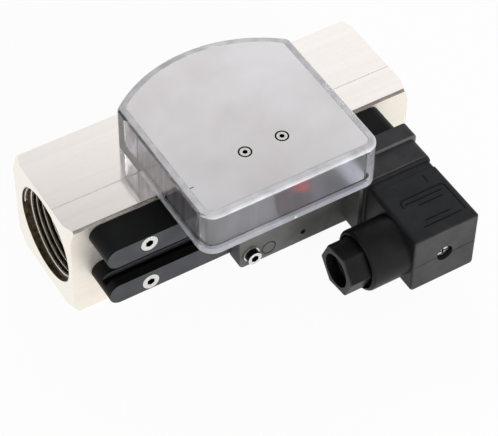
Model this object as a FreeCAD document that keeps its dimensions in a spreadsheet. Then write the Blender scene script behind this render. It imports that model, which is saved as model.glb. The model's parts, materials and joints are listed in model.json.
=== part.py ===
import FreeCAD, Part
import os
import re
import Sketcher

# A variable area flow meter: a square pipe body with a sprung float inside, a pointer under a
# clear hood that follows the float by magnets, and a switch carriage on two rails in front.
# Millimetres. Every piece is drawn about the flow axis (x along the flow, z up, the rails on
# the -y side) and lifted by half the body's width, so that the body stands on z = 0.

SIZES = {
    # pipe body
    "body_width": 50.0,
    "body_length": 162.0,
    "edge_chamfer": 1.2,
    "end_chamfer_radius": 31.2,
    "end_chamfer_slope": 0.577,
    "relief_line": 9.4,
    "relief_depth": 0.2,
    "port_diameter": 41.91,
    "port_depth": 22.0,
    "port_chamfer": 0.7,
    # stepped bore behind the ports, sized by the rings that hold the flow insert
    "ring_inner_diameter": 34.4,
    "ring_width": 3.2,
    "ring_opening": 8.0,
    "ring_land": 1.6,
    "ring_groove_width": 1.2,
    "ring_groove_depth": 0.9,
    "seat_step": 1.0,
    "seat_offset": 20.0,
    "outlet_length": 10.2,
    "screw_wall": 1.0,
    # clearances: assembled pieces, running shafts, sliding neighbours
    "fit_gap": 0.05,
    "run_gap": 0.06,
    "slide_gap": 0.3,
    # flow insert
    "cage_wall": 1.8,
    "arm_depth": 5.0,
    "arm_width": 3.6,
    "hub_rim": 0.3,
    "hub_length": 7.0,
    "rod_diameter": 6.0,
    "rod_overhang": 1.0,
    "rod_chamfer": 0.6,
    "orifice_diameter": 24.0,
    "orifice_thickness": 6.0,
    "orifice_land": 1.5,
    "orifice_flare": 2.5,
    # float and its spring
    "cone_length": 13.0,
    "cone_tip_diameter": 10.0,
    "cone_gap": 0.4,
    "float_disc_diameter": 30.0,
    "float_disc_thickness": 3.0,
    "skirt_diameter": 23.6,
    "skirt_length": 22.0,
    "magnet_diameter": 20.0,
    "magnet_length": 7.0,
    "magnet_bore": 7.2,
    "cap_thickness": 3.0,
    "spring_diameter": 10.0,
    "spring_wire": 1.4,
    "spring_turns": 9.0,
    # indicator hood
    "pivot_y": 39.0,
    "hood_width": 81.8,
    "hood_radius": 62.1,
    "hood_front": 63.3,
    "hood_height": 21.5,
    "hood_corner": 7.0,
    "hood_back_corner": 3.0,
    "hood_edge": 1.4,
    "hood_rim": 3.3,
    "hood_wall": 4.3,
    "cover_thickness": 3.0,
    "cover_gap": 0.12,
    "floor_thickness": 2.0,
    "cover_screw_pitch": 17.2,
    "post_diameter": 6.0,
    "spigot_diameter": 4.0,
    "screw_m3": 3.0,
    "screw_m25": 2.5,
    "cover_head_diameter": 4.5,
    "cover_head_height": 2.0,
    "cover_head_room": 0.7,
    "cover_screw_length": 8.0,
    "socket_m25": 2.0,
    "socket_share": 0.7,
    "floor_screw_side": 10.5,
    "floor_screw_edge": 5.1,
    "floor_screw_front": 15.0,
    "floor_head_diameter": 5.6,
    # pointer
    "pivot_diameter": 3.0,
    "pivot_overhang": 1.9,
    "pivot_flange_diameter": 6.0,
    "pivot_flange_height": 0.8,
    "clip_thickness": 0.7,
    "pointer_rest": 25.0,
    "pointer_hub_diameter": 7.0,
    "pointer_hub_height": 6.0,
    "arm_height": 3.9,
    "arm_thickness": 2.0,
    "arm_root": 5.0,
    "arm_tip": 3.0,
    "pointer_gap": 1.25,
    "blade_length": 3.5,
    "blade_gap": 3.0,
    "blade_thickness": 1.6,
    "follower_diameter": 7.0,
    "follower_height": 5.0,
    "follower_wall": 1.4,
    "tail_gap": 1.3,
    "tail_offset": 2.0,
    "tail_height": 10.0,
    "weight_diameter": 8.0,
    "weight_height": 3.0,
    "scale_thickness": 0.8,
    "scale_height": 8.0,
    "scale_angle": 66.0,
    # rails
    "rail_length": 138.5,
    "rail_shift": 3.25,
    "rail_height": 10.3,
    "rail_depth": 15.6,
    "rail_pitch": 21.6,
    "rail_drop": 1.75,
    "groove_depth": 2.6,
    "groove_width": 3.8,
    "groove_middle": 9.5,
    "rail_screw_inset": 19.0,
    "rail_screw_offset": 1.0,
    "screw_m4": 4.0,
    "rail_head_diameter": 7.6,
    "rail_head_height": 2.3,
    "rail_head_room": 0.2,
    "socket_m4": 3.2,
    # switch carriage
    "slab_left": -16.4,
    "slab_right": 69.0,
    "slab_height": 35.75,
    "slab_thickness": 7.85,
    "slab_corner": 2.3,
    "slab_edge": 0.6,
    "tongue_end": 11.0,
    "tongue_depth": 12.9,
    "rib_height": 2.0,
    "rib_width": 3.0,
    "base_margin": 2.0,
    "base_inset": 0.9,
    "base_step": 1.8,
    "base_depth": 10.85,
    "base_corner": 3.0,
    "reed_room": 4.0,
    "reed_from_face": 5.5,
    "reed_diameter": 4.6,
    "reed_length": 44.0,
    "reed_plug_length": 6.0,
    "clamp_inset": 5.1,
    "clamp_head_diameter": 6.3,
    "clamp_head_height": 2.7,
    "clamp_collar_diameter": 7.4,
    "clamp_collar_height": 0.8,
    "window_inset": 30.8,
    "window_drop": 1.7,
    "window_diameter": 2.5,
    "window_depth": 3.0,
    # angle plug
    "plug_inset": 2.0,
    "plug_width": 31.0,
    "plug_lift": 0.275,
    "plug_height": 30.2,
    "plug_depth": 35.0,
    "plug_corner": 1.6,
    "plug_edge": 1.0,
    "flange_depth": 4.2,
    "flange_inset": 0.35,
    "gasket_thickness": 1.95,
    "gasket_gap": 0.05,
    "gasket_lip": 0.4,
    "gasket_edge": 0.5,
    "plug_wall": 3.0,
    "plug_front_wall": 7.0,
    "pin_base_size": 23.0,
    "pin_base_depth": 7.0,
    "pin_width": 6.0,
    "pin_thickness": 1.0,
    "pin_radius": 8.0,
    "pin_length": 10.0,
    "pin_gap": 0.3,
    "block_depth": 17.0,
    "terminal_diameter": 4.0,
    "terminal_height": 1.6,
    "terminal_radius": 7.5,
    "plug_screw_head": 5.8,
    "plug_screw_head_height": 2.4,
    "plug_screw_recess": 7.6,
    "plug_screw_recess_depth": 4.0,
    "plug_screw_reach": 9.0,
    "plug_screw_slot": 0.8,
    "plug_screw_slot_reach": 2.1,
    "plug_screw_slot_depth": 1.1,
    # cable gland
    "gland_setback": 14.6,
    "boss_length": 18.0,
    "boss_diameter": 26.6,
    "boss_edge": 1.5,
    "boss_recess_diameter": 23.6,
    "boss_recess_depth": 3.0,
    "gland_bore": 19.0,
    "gland_bore_depth": 15.0,
    "cable_way": 12.0,
    "nut_reach": 9.5,
    "nut_gap": 0.3,
    "nut_across": 19.4,
    "nut_turn": 52.0,
    "nut_corner": 0.8,
    "nut_chamfer": 0.4,
    "nut_mouth": 15.0,
    "nut_bore": 11.6,
    "nut_mouth_depth": 5.0,
    "washer_thickness": 1.0,
    "seal_length": 5.0,
    "cable_diameter": 9.0,
}

X_AXIS = FreeCAD.Rotation()
FRONT_AXIS = FreeCAD.Rotation(FreeCAD.Vector(0, 0, 1), -90)
Z_AXIS = FreeCAD.Rotation(FreeCAD.Vector(0, 1, 0), -90)

doc = FreeCAD.newDocument("flow_meter")
sheet = doc.addObject("Spreadsheet::Sheet", "Sizes")
for row, (alias, size) in enumerate(SIZES.items(), 1):
    sheet.set(f"A{row}", alias)
    sheet.set(f"B{row}", str(size))
    sheet.setAlias(f"B{row}", alias)
doc.recompute()

subparts = []


def formula(text):
    """A formula of size names, written with the sheet's cells."""
    return re.sub(r"[a-z]\w+", lambda word: f"Sizes.{word[0]}" if word[0] in SIZES else word[0], text)


def number(text):
    """The value of a formula of size names."""
    return float(sheet.evalExpression(formula(text)))


def bind(item, path, text):
    item.setExpression(path, formula(text))


def place(item, x="0", y="0", z="0", turn=X_AXIS):
    """Turn a piece and bind its position to formulas."""
    item.Placement = FreeCAD.Placement(FreeCAD.Vector(), turn)
    for axis, text in zip("xyz", (x, y, z)):
        if text != "0":
            bind(item, f"Placement.Base.{axis}", text)


def finish(item, label, x="0", y="0", z="0", turn=X_AXIS):
    """Name a sub-part and lift it from the flow axis to the body's underside."""
    item.Label = label
    place(item, x, y, f"{z} + body_width / 2", turn)
    subparts.append(item)
    return item


# Sketches and part features

def new_body(name):
    return doc.addObject("PartDesign::Body", name)


def sketch(body, plane, offset="0"):
    """An empty sketch on one of the body's own planes, moved along that plane's normal."""
    drawing = body.newObject("Sketcher::SketchObject", f"{body.Name}_sketch")
    support = [feature for feature in body.Origin.OriginFeatures if feature.Role == plane]
    drawing.AttachmentSupport = [(support[0], "")]
    drawing.MapMode = "FlatFace"
    bind(drawing, "AttachmentOffset.Base.z", offset)
    return drawing


def fix(drawing, geometry, point, x, y):
    """Hold a point of a sketch at two formulas; zero lies on the sketch's axis."""
    for kind, text, axis in (("DistanceX", x, -2), ("DistanceY", y, -1)):
        if text == "0":
            drawing.addConstraint(Sketcher.Constraint("PointOnObject", geometry, point, axis))
            continue
        index = drawing.addConstraint(Sketcher.Constraint(kind, -1, 1, geometry, point, number(text)))
        bind(drawing, f"Constraints[{index}]", text)


def outline(drawing, points):
    """A closed outline of straight lines through points given as formulas."""
    places = [FreeCAD.Vector(number(x), number(y), 0) for x, y in points]
    first = drawing.GeometryCount
    count = len(points)
    for step in range(count):
        drawing.addGeometry(Part.LineSegment(places[step], places[(step + 1) % count]))
    for step in range(count):
        following = first + (step + 1) % count
        drawing.addConstraint(Sketcher.Constraint("Coincident", first + step, 2, following, 1))
    for step, (x, y) in enumerate(points):
        fix(drawing, first + step, 1, x, y)
    return drawing


def rectangle(drawing, left, right, low, high):
    return outline(drawing, [(left, low), (right, low), (right, high), (left, high)])


def circle(drawing, x, y, diameter):
    centre = FreeCAD.Vector(number(x), number(y), 0)
    ring = Part.Circle(centre, FreeCAD.Vector(0, 0, 1), number(diameter) / 2)
    geometry = drawing.addGeometry(ring)
    fix(drawing, geometry, 3, x, y)
    index = drawing.addConstraint(Sketcher.Constraint("Diameter", geometry, number(diameter)))
    bind(drawing, f"Constraints[{index}]", diameter)
    return drawing


def hexagon(drawing, across, turn="30"):
    """A regular hexagon about the sketch's origin, its first corner turned from the sketch's x axis."""
    corner = f"({across}) / 2 / cos(30 deg)"
    points = []
    for step in range(0, 360, 60):
        angle = f"({turn} + {step}) * 1 deg"
        x = f"{corner} * cos({angle})"
        on_axis = near(number(x), 0)
        points.append(("0" if on_axis else x, f"{corner} * sin({angle})"))
    return outline(drawing, points)


def slot(drawing, left, right, middle, height):
    """A straight slot with full round ends."""
    radius = number(height) / 2
    low = FreeCAD.Vector(number(left) + radius, number(middle), 0)
    high = FreeCAD.Vector(number(right) - radius, number(middle), 0)
    up = FreeCAD.Vector(0, radius, 0)
    normal = FreeCAD.Vector(0, 0, 1)
    quarter = FreeCAD.Units.Quantity("90 deg").getValueAs("rad").Value
    drawing.addGeometry(Part.ArcOfCircle(Part.Circle(low, normal, radius), quarter, 3 * quarter))
    drawing.addGeometry(Part.LineSegment(low - up, high - up))
    drawing.addGeometry(Part.ArcOfCircle(Part.Circle(high, normal, radius), -quarter, quarter))
    drawing.addGeometry(Part.LineSegment(high + up, low + up))
    for one, other in ((0, 1), (1, 2), (2, 3), (3, 0)):
        drawing.addConstraint(Sketcher.Constraint("Tangent", one, 2, other, 1))
    fix(drawing, 0, 3, f"{left} + ({height}) / 2", middle)
    fix(drawing, 2, 3, f"{right} - ({height}) / 2", middle)
    index = drawing.addConstraint(Sketcher.Constraint("Radius", 0, radius))
    bind(drawing, f"Constraints[{index}]", f"({height}) / 2")
    return drawing


def hood_outline(drawing, inset):
    """The hood's plan, drawn in by an inset: three straight sides and an arc about the pivot."""
    half = number(f"hood_width / 2 - ({inset})")
    front = -number(f"hood_front - ({inset})")
    radius = number(f"hood_radius - ({inset})")
    pivot = FreeCAD.Vector(0, -number("pivot_y"), 0)
    rise = (radius ** 2 - half ** 2) ** 0.5
    back_right = FreeCAD.Vector(half, pivot.y + rise, 0)
    back_left = FreeCAD.Vector(-half, pivot.y + rise, 0)
    crown = FreeCAD.Vector(0, pivot.y + radius, 0)
    front_left = FreeCAD.Vector(-half, front, 0)
    front_right = FreeCAD.Vector(half, front, 0)
    drawing.addGeometry(Part.Arc(back_right, crown, back_left))
    drawing.addGeometry(Part.LineSegment(back_left, front_left))
    drawing.addGeometry(Part.LineSegment(front_left, front_right))
    drawing.addGeometry(Part.LineSegment(front_right, back_right))
    for one, other in ((0, 1), (1, 2), (2, 3), (3, 0)):
        drawing.addConstraint(Sketcher.Constraint("Coincident", one, 2, other, 1))
    drawing.addConstraint(Sketcher.Constraint("Vertical", 1))
    drawing.addConstraint(Sketcher.Constraint("Vertical", 3))
    fix(drawing, 0, 3, "0", "-pivot_y")
    index = drawing.addConstraint(Sketcher.Constraint("Radius", 0, radius))
    bind(drawing, f"Constraints[{index}]", f"hood_radius - ({inset})")
    fix(drawing, 2, 1, f"-hood_width / 2 + ({inset})", f"-hood_front + ({inset})")
    fix(drawing, 2, 2, f"hood_width / 2 - ({inset})", f"-hood_front + ({inset})")
    return drawing


def feature(body, kind, profile, length, reverse):
    item = body.newObject(f"PartDesign::{kind}", f"{body.Name}_{kind.lower()}")
    item.Profile = profile
    bind(item, "Length", length)
    item.Reversed = reverse
    doc.recompute()
    return item


def pad(body, profile, length, reverse=False):
    """Material along the sketch's normal, or against it."""
    return feature(body, "Pad", profile, length, reverse)


def pocket(body, profile, length, along=False):
    """A cut against the sketch's normal, or along it. It has to take material away."""
    before = body.Shape.Volume
    item = feature(body, "Pocket", profile, length, along)
    if body.Shape.Volume >= before:
        raise ValueError(f"{item.Name} cuts nothing")
    return item


def spin(body, kind, profile):
    """A full turn of a profile about its own horizontal axis."""
    item = body.newObject(f"PartDesign::{kind}", f"{body.Name}_{kind.lower()}")
    item.Profile = profile
    item.ReferenceAxis = (profile, ["H_Axis"])
    item.Angle = 360
    doc.recompute()
    return item


def turned(name, profile):
    """A turned piece along its own x axis; the profile gives places along it and radii."""
    body = new_body(name)
    spin(body, "Revolution", outline(sketch(body, "XZ_Plane"), profile))
    return body


def dress(body, kind, size, chosen):
    """Fillet or chamfer the edges of the body's last feature that pass a test."""
    base = body.Tip
    names = [f"Edge{place}" for place, edge in enumerate(base.Shape.Edges, 1) if chosen(edge)]
    item = body.newObject(f"PartDesign::{kind}", f"{body.Name}_{kind.lower()}")
    item.Base = (base, names)
    bind(item, "Radius" if kind == "Fillet" else "Size", size)
    doc.recompute()
    return item


def runs_along(edge, axis):
    """True for a straight edge parallel to an axis, 0 to 2 for x to z."""
    if edge.Curve.TypeId != "Part::GeomLine":
        return False
    return abs(edge.Curve.Direction[axis]) > 0.999


def middle_of(edge):
    return edge.valueAt((edge.FirstParameter + edge.LastParameter) / 2)


def near(one, other):
    return abs(one - other) < 0.02


# Solids and booleans

def solid(kind, name, **sizes):
    item = doc.addObject(f"Part::{kind}", name)
    for key, text in sizes.items():
        bind(item, key, text)
    return item


def drill(name, diameter, length, x, y, z, turn):
    """A round cutter whose own z axis is turned to the hole's direction."""
    item = solid("Cylinder", name, Radius=f"({diameter}) / 2", Height=length)
    place(item, x, y, z, turn)
    return item


def block(name, x, y, z, length, width, height):
    """A box from its lowest corner."""
    item = solid("Box", name, Length=length, Width=width, Height=height)
    place(item, x, y, z)
    return item


def fused(name, pieces):
    item = doc.addObject("Part::MultiFuse", name)
    item.Shapes = pieces
    return item


def cut(name, base, tools):
    item = doc.addObject("Part::Cut", name)
    item.Base = base
    item.Tool = tools[0] if len(tools) == 1 else fused(f"{name}_tools", tools)
    return item


def group(name, pieces):
    item = doc.addObject("Part::Compound", name)
    item.Links = pieces
    return item


ALONG_X = FreeCAD.Rotation(FreeCAD.Vector(0, 1, 0), 90)
ALONG_FRONT = FreeCAD.Rotation(FreeCAD.Vector(1, 0, 0), 90)

# Shared places, as formulas of the sizes

BODY_FRONT = "-body_width / 2"
BODY_TOP = "body_width / 2"
PORT_END = "(body_length / 2 - port_depth)"
GROOVE_OUT = f"({PORT_END} - ring_land)"
GROOVE_IN = f"({PORT_END} - ring_land - ring_groove_width)"
RING_GROOVE = "(ring_inner_diameter + 2 * ring_width)"
CAGE_BORE = f"({RING_GROOVE} - 2 * ring_groove_depth)"
CHAMBER_BORE = f"({CAGE_BORE} - 2 * seat_step)"
SCREW_DEPTH = f"(body_width / 2 - {CAGE_BORE} / 2 - screw_wall)"
OUTLET_SHOULDER = f"({GROOVE_IN} - outlet_length)"
SEAT = "-seat_offset"
HUB = "(spring_diameter + spring_wire + 2 * hub_rim)"
HOOD_TOP = "(body_width / 2 + hood_height)"
FLOOR_TOP = "(body_width / 2 + floor_thickness)"
COVER_UNDER = f"({HOOD_TOP} - cover_thickness)"
RAIL_FRONT = "(-body_width / 2 - rail_depth)"
RAIL_LEFT = "(-rail_length / 2 - rail_shift)"
RAIL_RIGHT = "(rail_length / 2 - rail_shift)"
RAIL_MIDDLE = "(body_width / 2 - rail_drop - rail_height / 2 - rail_pitch / 2)"
RAIL_SIDES = {"upper_rail": 1, "lower_rail": -1}
GROOVE_Y = "(-body_width / 2 - groove_middle)"
SLAB_BACK = f"({RAIL_FRONT} - slide_gap)"
SLAB_FRONT = f"({SLAB_BACK} - slab_thickness)"
SLAB_HIGH = "(body_width / 2 - slide_gap)"
SLAB_LOW = f"({SLAB_HIGH} - slab_height)"
BASE_FRONT = f"({SLAB_FRONT} - base_depth)"
PLUG_BACK = f"({BASE_FRONT} - gasket_thickness - gasket_gap)"
PLUG_FRONT = f"({PLUG_BACK} - plug_depth)"
PLUG_RIGHT = "(slab_right - plug_inset)"
PLUG_LEFT = f"({PLUG_RIGHT} - plug_width)"
PLUG_X = f"({PLUG_RIGHT} - plug_width / 2)"
PLUG_MIDDLE = f"({SLAB_HIGH} - slab_height / 2 + plug_lift)"
PLUG_LOW = f"({PLUG_MIDDLE} - plug_height / 2)"
PLUG_HIGH = f"({PLUG_MIDDLE} + plug_height / 2)"
GLAND_Y = f"({PLUG_FRONT} + gland_setback)"
BOSS_END = f"({PLUG_LEFT} - boss_length)"
CLAMP_X = "(slab_left + clamp_inset)"
CLAMP_Z = f"({RAIL_MIDDLE} - rail_pitch / 2)"
FLOAT_SEAT = f"({SEAT} + cone_gap)"
CAP_FACE = f"({FLOAT_SEAT} + magnet_length + cap_thickness)"


def opposite(text):
    """The distance along the front direction, which runs towards -y."""
    return f"-({text})"


def rail_screw_places():
    """Where the rails' screws stand, as pairs of formulas for x and z."""
    places = []
    for side in RAIL_SIDES.values():
        for end in (-1, 1):
            x = f"{end} * (rail_length / 2 - rail_screw_inset) - rail_shift"
            z = f"{RAIL_MIDDLE} + {side} * (rail_pitch / 2 + rail_screw_offset)"
            places.append((x, z))
    return places


def floor_screw_places():
    """Where the floor's screws stand, as pairs of formulas for x and y."""
    across = "(hood_width / 2 - floor_screw_side)"
    back = f"sqrt((hood_radius - hood_rim)^2 - {across}^2) - pivot_y - floor_screw_edge"
    places = []
    for side in (-1, 1):
        places.append((f"{side} * {across}", back))
        places.append((f"{side} * {across}", "-floor_screw_front"))
    return places


# Pipe body

def make_body():
    body = new_body("pipe_block")
    half = "body_width / 2"
    square = sketch(body, "YZ_Plane", "-body_length / 2")
    pad(body, rectangle(square, f"-{half}", half, f"-{half}", half), "body_length")
    dress(body, "Chamfer", "edge_chamfer", lambda edge: runs_along(edge, 0))

    # a turned chamfer takes the corners off each end face
    reach = "(body_width - end_chamfer_radius)"
    for side in (-1, 1):
        end = f"{side} * body_length / 2"
        back = f"{side} * (body_length / 2 - {reach} * end_chamfer_slope)"
        corner = [(end, "end_chamfer_radius"), (end, "body_width"), (back, "body_width")]
        spin(body, "Groove", outline(sketch(body, "XZ_Plane"), corner))

    # the stepped bore: port, land, ring groove, cage bore, chamber, guide bore, groove, land, port
    mouth = "port_diameter / 2 + port_chamfer"
    steps = [
        ("-body_length / 2", "0"),
        ("-body_length / 2", mouth),
        ("-body_length / 2 + port_chamfer", "port_diameter / 2"),
        (f"-{PORT_END}", "port_diameter / 2"),
        (f"-{PORT_END}", f"{CAGE_BORE} / 2"),
        (f"-{GROOVE_OUT}", f"{CAGE_BORE} / 2"),
        (f"-{GROOVE_OUT}", f"{RING_GROOVE} / 2"),
        (f"-{GROOVE_IN}", f"{RING_GROOVE} / 2"),
        (f"-{GROOVE_IN}", f"{CAGE_BORE} / 2"),
        (SEAT, f"{CAGE_BORE} / 2"),
        (SEAT, f"{CHAMBER_BORE} / 2"),
        (OUTLET_SHOULDER, f"{CHAMBER_BORE} / 2"),
        (OUTLET_SHOULDER, f"{CAGE_BORE} / 2"),
        (GROOVE_IN, f"{CAGE_BORE} / 2"),
        (GROOVE_IN, f"{RING_GROOVE} / 2"),
        (GROOVE_OUT, f"{RING_GROOVE} / 2"),
        (GROOVE_OUT, f"{CAGE_BORE} / 2"),
        (PORT_END, f"{CAGE_BORE} / 2"),
        (PORT_END, "port_diameter / 2"),
        ("body_length / 2 - port_chamfer", "port_diameter / 2"),
        ("body_length / 2", mouth),
        ("body_length / 2", "0"),
    ]
    spin(body, "Groove", outline(sketch(body, "XZ_Plane"), steps))

    # the strip of the top face beside the rails is milled a little lower
    strip = sketch(body, "XY_Plane", BODY_TOP)
    rectangle(strip, "-body_length / 2", "body_length / 2", BODY_FRONT, "-relief_line")
    pocket(body, strip, "relief_depth")

    # tapped holes for the rails in front and for the hood's floor on top
    for x, z in rail_screw_places():
        hole = circle(sketch(body, "XZ_Plane", half), x, z, "screw_m4 + 2 * fit_gap")
        pocket(body, hole, f"{SCREW_DEPTH} + fit_gap")
    for x, y in floor_screw_places():
        hole = circle(sketch(body, "XY_Plane", BODY_TOP), x, y, "screw_m3 + 2 * fit_gap")
        pocket(body, hole, f"{SCREW_DEPTH} + fit_gap")
    finish(body, "body")


# Flow insert

def make_retaining_rings():
    rings = []
    for side in (-1, 1):
        start = GROOVE_IN if side > 0 else f"-{GROOVE_OUT}"
        body = turned("spring_ring", [
            (f"{start} + fit_gap", "ring_inner_diameter / 2"),
            (f"{start} + ring_groove_width - fit_gap", "ring_inner_diameter / 2"),
            (f"{start} + ring_groove_width - fit_gap", f"{RING_GROOVE} / 2 - fit_gap"),
            (f"{start} + fit_gap", f"{RING_GROOVE} / 2 - fit_gap"),
        ])
        opening = sketch(body, "YZ_Plane", start)
        rectangle(opening, "-ring_opening / 2", "ring_opening / 2", f"-{RING_GROOVE}", "-ring_opening")
        pocket(body, opening, "ring_groove_width", along=True)
        rings.append(body)
    finish(group("ring_pair", rings), "retaining_rings")


def spider(name, start, end, arms_at, hub_at):
    """A sleeve with a hub on three arms, from start to end along the bore."""
    length = f"{end} - ({start})"
    outer = f"{CAGE_BORE} / 2 - fit_gap"
    sleeve = drill(f"{name}_outer", f"2 * ({outer})", length, start, "0", "0", ALONG_X)
    inner = drill(f"{name}_inner", f"2 * ({outer} - cage_wall)", length, start, "0", "0", ALONG_X)
    hub = drill(f"{name}_hub", HUB, "hub_length", hub_at, "0", "0", ALONG_X)
    pieces = [cut(f"{name}_tube", sleeve, [inner]), hub]
    for turn in (0, 120, 240):
        arm = solid("Box", f"{name}_arm", Length="arm_depth", Width="arm_width",
                    Height=f"{outer} - cage_wall / 2")
        across = f"-arm_width / 2 * cos({turn} deg)"
        up = f"-arm_width / 2 * sin({turn} deg)"
        place(arm, arms_at, across, up, FreeCAD.Rotation(FreeCAD.Vector(1, 0, 0), turn))
        pieces.append(arm)
    bore = drill(f"{name}_bore", "rod_diameter + 2 * fit_gap", "body_length", "-body_length / 2",
                 "0", "0", ALONG_X)
    return cut(name, fused(f"{name}_frame", pieces), [bore])


def make_guides():
    start = f"-{GROOVE_IN}"
    inlet = spider("inlet_spider", start, f"({SEAT} - orifice_thickness)", start, start)
    finish(inlet, "inlet_cage")
    hub = f"{OUTLET_SHOULDER} + arm_depth - hub_length"
    outlet = spider("outlet_spider", OUTLET_SHOULDER, GROOVE_IN, OUTLET_SHOULDER, hub)
    finish(outlet, "outlet_guide")


def make_guide_rod():
    start = f"-{GROOVE_IN} - rod_overhang"
    end = f"{OUTLET_SHOULDER} + arm_depth + rod_overhang"
    rod = turned("rod", [
        (start, "0"),
        (start, "rod_diameter / 2 - rod_chamfer"),
        (f"{start} + rod_chamfer", "rod_diameter / 2"),
        (f"{end} - rod_chamfer", "rod_diameter / 2"),
        (end, "rod_diameter / 2 - rod_chamfer"),
        (end, "0"),
    ])
    finish(rod, "guide_rod")


def make_orifice_ring():
    back = f"{SEAT} - orifice_thickness"
    ring = turned("orifice", [
        (back, "orifice_diameter / 2 + orifice_flare"),
        (f"{SEAT} - orifice_land", "orifice_diameter / 2"),
        (SEAT, "orifice_diameter / 2"),
        (SEAT, f"{CAGE_BORE} / 2 - fit_gap"),
        (back, f"{CAGE_BORE} / 2 - fit_gap"),
    ])
    finish(ring, "orifice_ring")


# Float

def make_float():
    bore = "rod_diameter / 2 + run_gap"
    tip = f"{FLOAT_SEAT} - cone_length"
    disc = f"{FLOAT_SEAT} + float_disc_thickness"
    skirt = f"{disc} + skirt_length"
    pocket_radius = "magnet_diameter / 2 + fit_gap"
    shell = turned("plunger", [
        (tip, bore),
        (tip, "cone_tip_diameter / 2"),
        (FLOAT_SEAT, "orifice_diameter / 2 - cone_gap"),
        (FLOAT_SEAT, "float_disc_diameter / 2"),
        (disc, "float_disc_diameter / 2"),
        (disc, "skirt_diameter / 2"),
        (skirt, "skirt_diameter / 2"),
        (skirt, pocket_radius),
        (FLOAT_SEAT, pocket_radius),
        (FLOAT_SEAT, bore),
    ])
    finish(shell, "float")

    magnet_end = f"{FLOAT_SEAT} + magnet_length"
    magnet = turned("ring_magnet", [
        (FLOAT_SEAT, "magnet_bore / 2"),
        (magnet_end, "magnet_bore / 2"),
        (magnet_end, "magnet_diameter / 2"),
        (FLOAT_SEAT, "magnet_diameter / 2"),
    ])
    finish(magnet, "float_magnet")

    cap = turned("magnet_cap", [
        (magnet_end, bore),
        (CAP_FACE, bore),
        (CAP_FACE, "magnet_diameter / 2"),
        (magnet_end, "magnet_diameter / 2"),
    ])
    finish(cap, "float_cap")


def make_spring():
    start = f"{CAP_FACE} + spring_wire / 2"
    end = f"{OUTLET_SHOULDER} + arm_depth - hub_length - spring_wire / 2"
    length = f"{end} - ({start})"
    helix = solid("Helix", "spring_path", Pitch=f"({length}) / spring_turns", Height=length,
                  Radius="spring_diameter / 2")
    wire = solid("Circle", "spring_section", Radius="spring_wire / 2")
    place(wire, "spring_diameter / 2", "0", "0", ALONG_FRONT)
    coil = doc.addObject("Part::Sweep", "coil")
    coil.Sections = [wire]
    coil.Spine = (helix, ["Edge1"])
    coil.Solid = True
    coil.Frenet = True
    finish(coil, "return_spring", start, "0", "0", ALONG_X)


# Indicator hood

def d_block(name, inset, low, height, corner):
    """A flat block with the hood's plan, drawn in by an inset."""
    body = new_body(name)
    pad(body, hood_outline(sketch(body, "XY_Plane", low), inset), height)
    split = -number("pivot_y")
    dress(body, "Fillet", corner, lambda edge: runs_along(edge, 2) and middle_of(edge).y < split)
    back = "hood_back_corner"
    dress(body, "Fillet", back, lambda edge: runs_along(edge, 2) and middle_of(edge).y > split)
    return body


def make_hood():
    outer = d_block("hood_outer", "0", BODY_TOP, "hood_height", "hood_corner")
    top = number(HOOD_TOP)
    dress(outer, "Fillet", "hood_edge", lambda edge: near(edge.BoundBox.ZMin, top))
    cavity = d_block("hood_cavity", "hood_wall", BODY_TOP, "hood_height", "hood_corner - hood_wall")
    rim_corner = "hood_corner - hood_rim"
    lid = d_block("hood_lid_seat", "hood_rim", COVER_UNDER, "cover_thickness", rim_corner)
    floor = d_block("hood_floor_seat", "hood_rim", BODY_TOP, "floor_thickness", rim_corner)
    finish(cut("hood_shell", outer, [cavity, lid, floor]), "hood")


def post_places():
    return [(f"{side} * cover_screw_pitch / 2", "-pivot_y") for side in (-1, 1)]


def make_cover():
    inset = "hood_rim + cover_gap"
    plate = d_block("lid", inset, COVER_UNDER, "cover_thickness", "hood_corner - hood_rim - cover_gap")
    for x, y in post_places():
        hole = circle(sketch(plate, "XY_Plane", HOOD_TOP), x, y, "screw_m25 + 2 * fit_gap")
        pocket(plate, hole, "cover_thickness")
        seat = circle(sketch(plate, "XY_Plane", HOOD_TOP), x, y, "cover_head_diameter + 2 * cover_head_room")
        pocket(plate, seat, "cover_head_height")
    finish(plate, "cover_plate")


def socket_screw(name, low, neck, top, shank, head, socket):
    """A turned screw with a hexagon socket, its head at the far end of its own x axis."""
    screw = turned(name, [
        (low, "0"),
        (low, f"{shank} / 2"),
        (neck, f"{shank} / 2"),
        (neck, f"{head} / 2"),
        (top, f"{head} / 2"),
        (top, "0"),
    ])
    pocket(screw, hexagon(sketch(screw, "YZ_Plane", top), socket), f"({top} - ({neck})) * socket_share")
    return screw


def make_cover_screws():
    neck = f"{HOOD_TOP} - cover_head_height"
    screws = []
    for x, y in post_places():
        screw = socket_screw("cover_screw", f"{neck} - cover_screw_length", neck, HOOD_TOP,
                             "screw_m25", "cover_head_diameter", "socket_m25")
        place(screw, x, y, "0", Z_AXIS)
        screws.append(screw)
    finish(group("cover_screw_pair", screws), "cover_screws")


def make_posts():
    posts = []
    for x, y in post_places():
        post = turned("post", [
            (BODY_TOP, "0"),
            (BODY_TOP, "spigot_diameter / 2"),
            (FLOOR_TOP, "spigot_diameter / 2"),
            (FLOOR_TOP, "post_diameter / 2"),
            (COVER_UNDER, "post_diameter / 2"),
            (COVER_UNDER, "screw_m25 / 2 + fit_gap"),
            (f"{COVER_UNDER} - cover_screw_length", "screw_m25 / 2 + fit_gap"),
            (f"{COVER_UNDER} - cover_screw_length", "0"),
        ])
        place(post, x, y, "0", Z_AXIS)
        posts.append(post)
    finish(group("post_pair", posts), "cover_posts")


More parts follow.
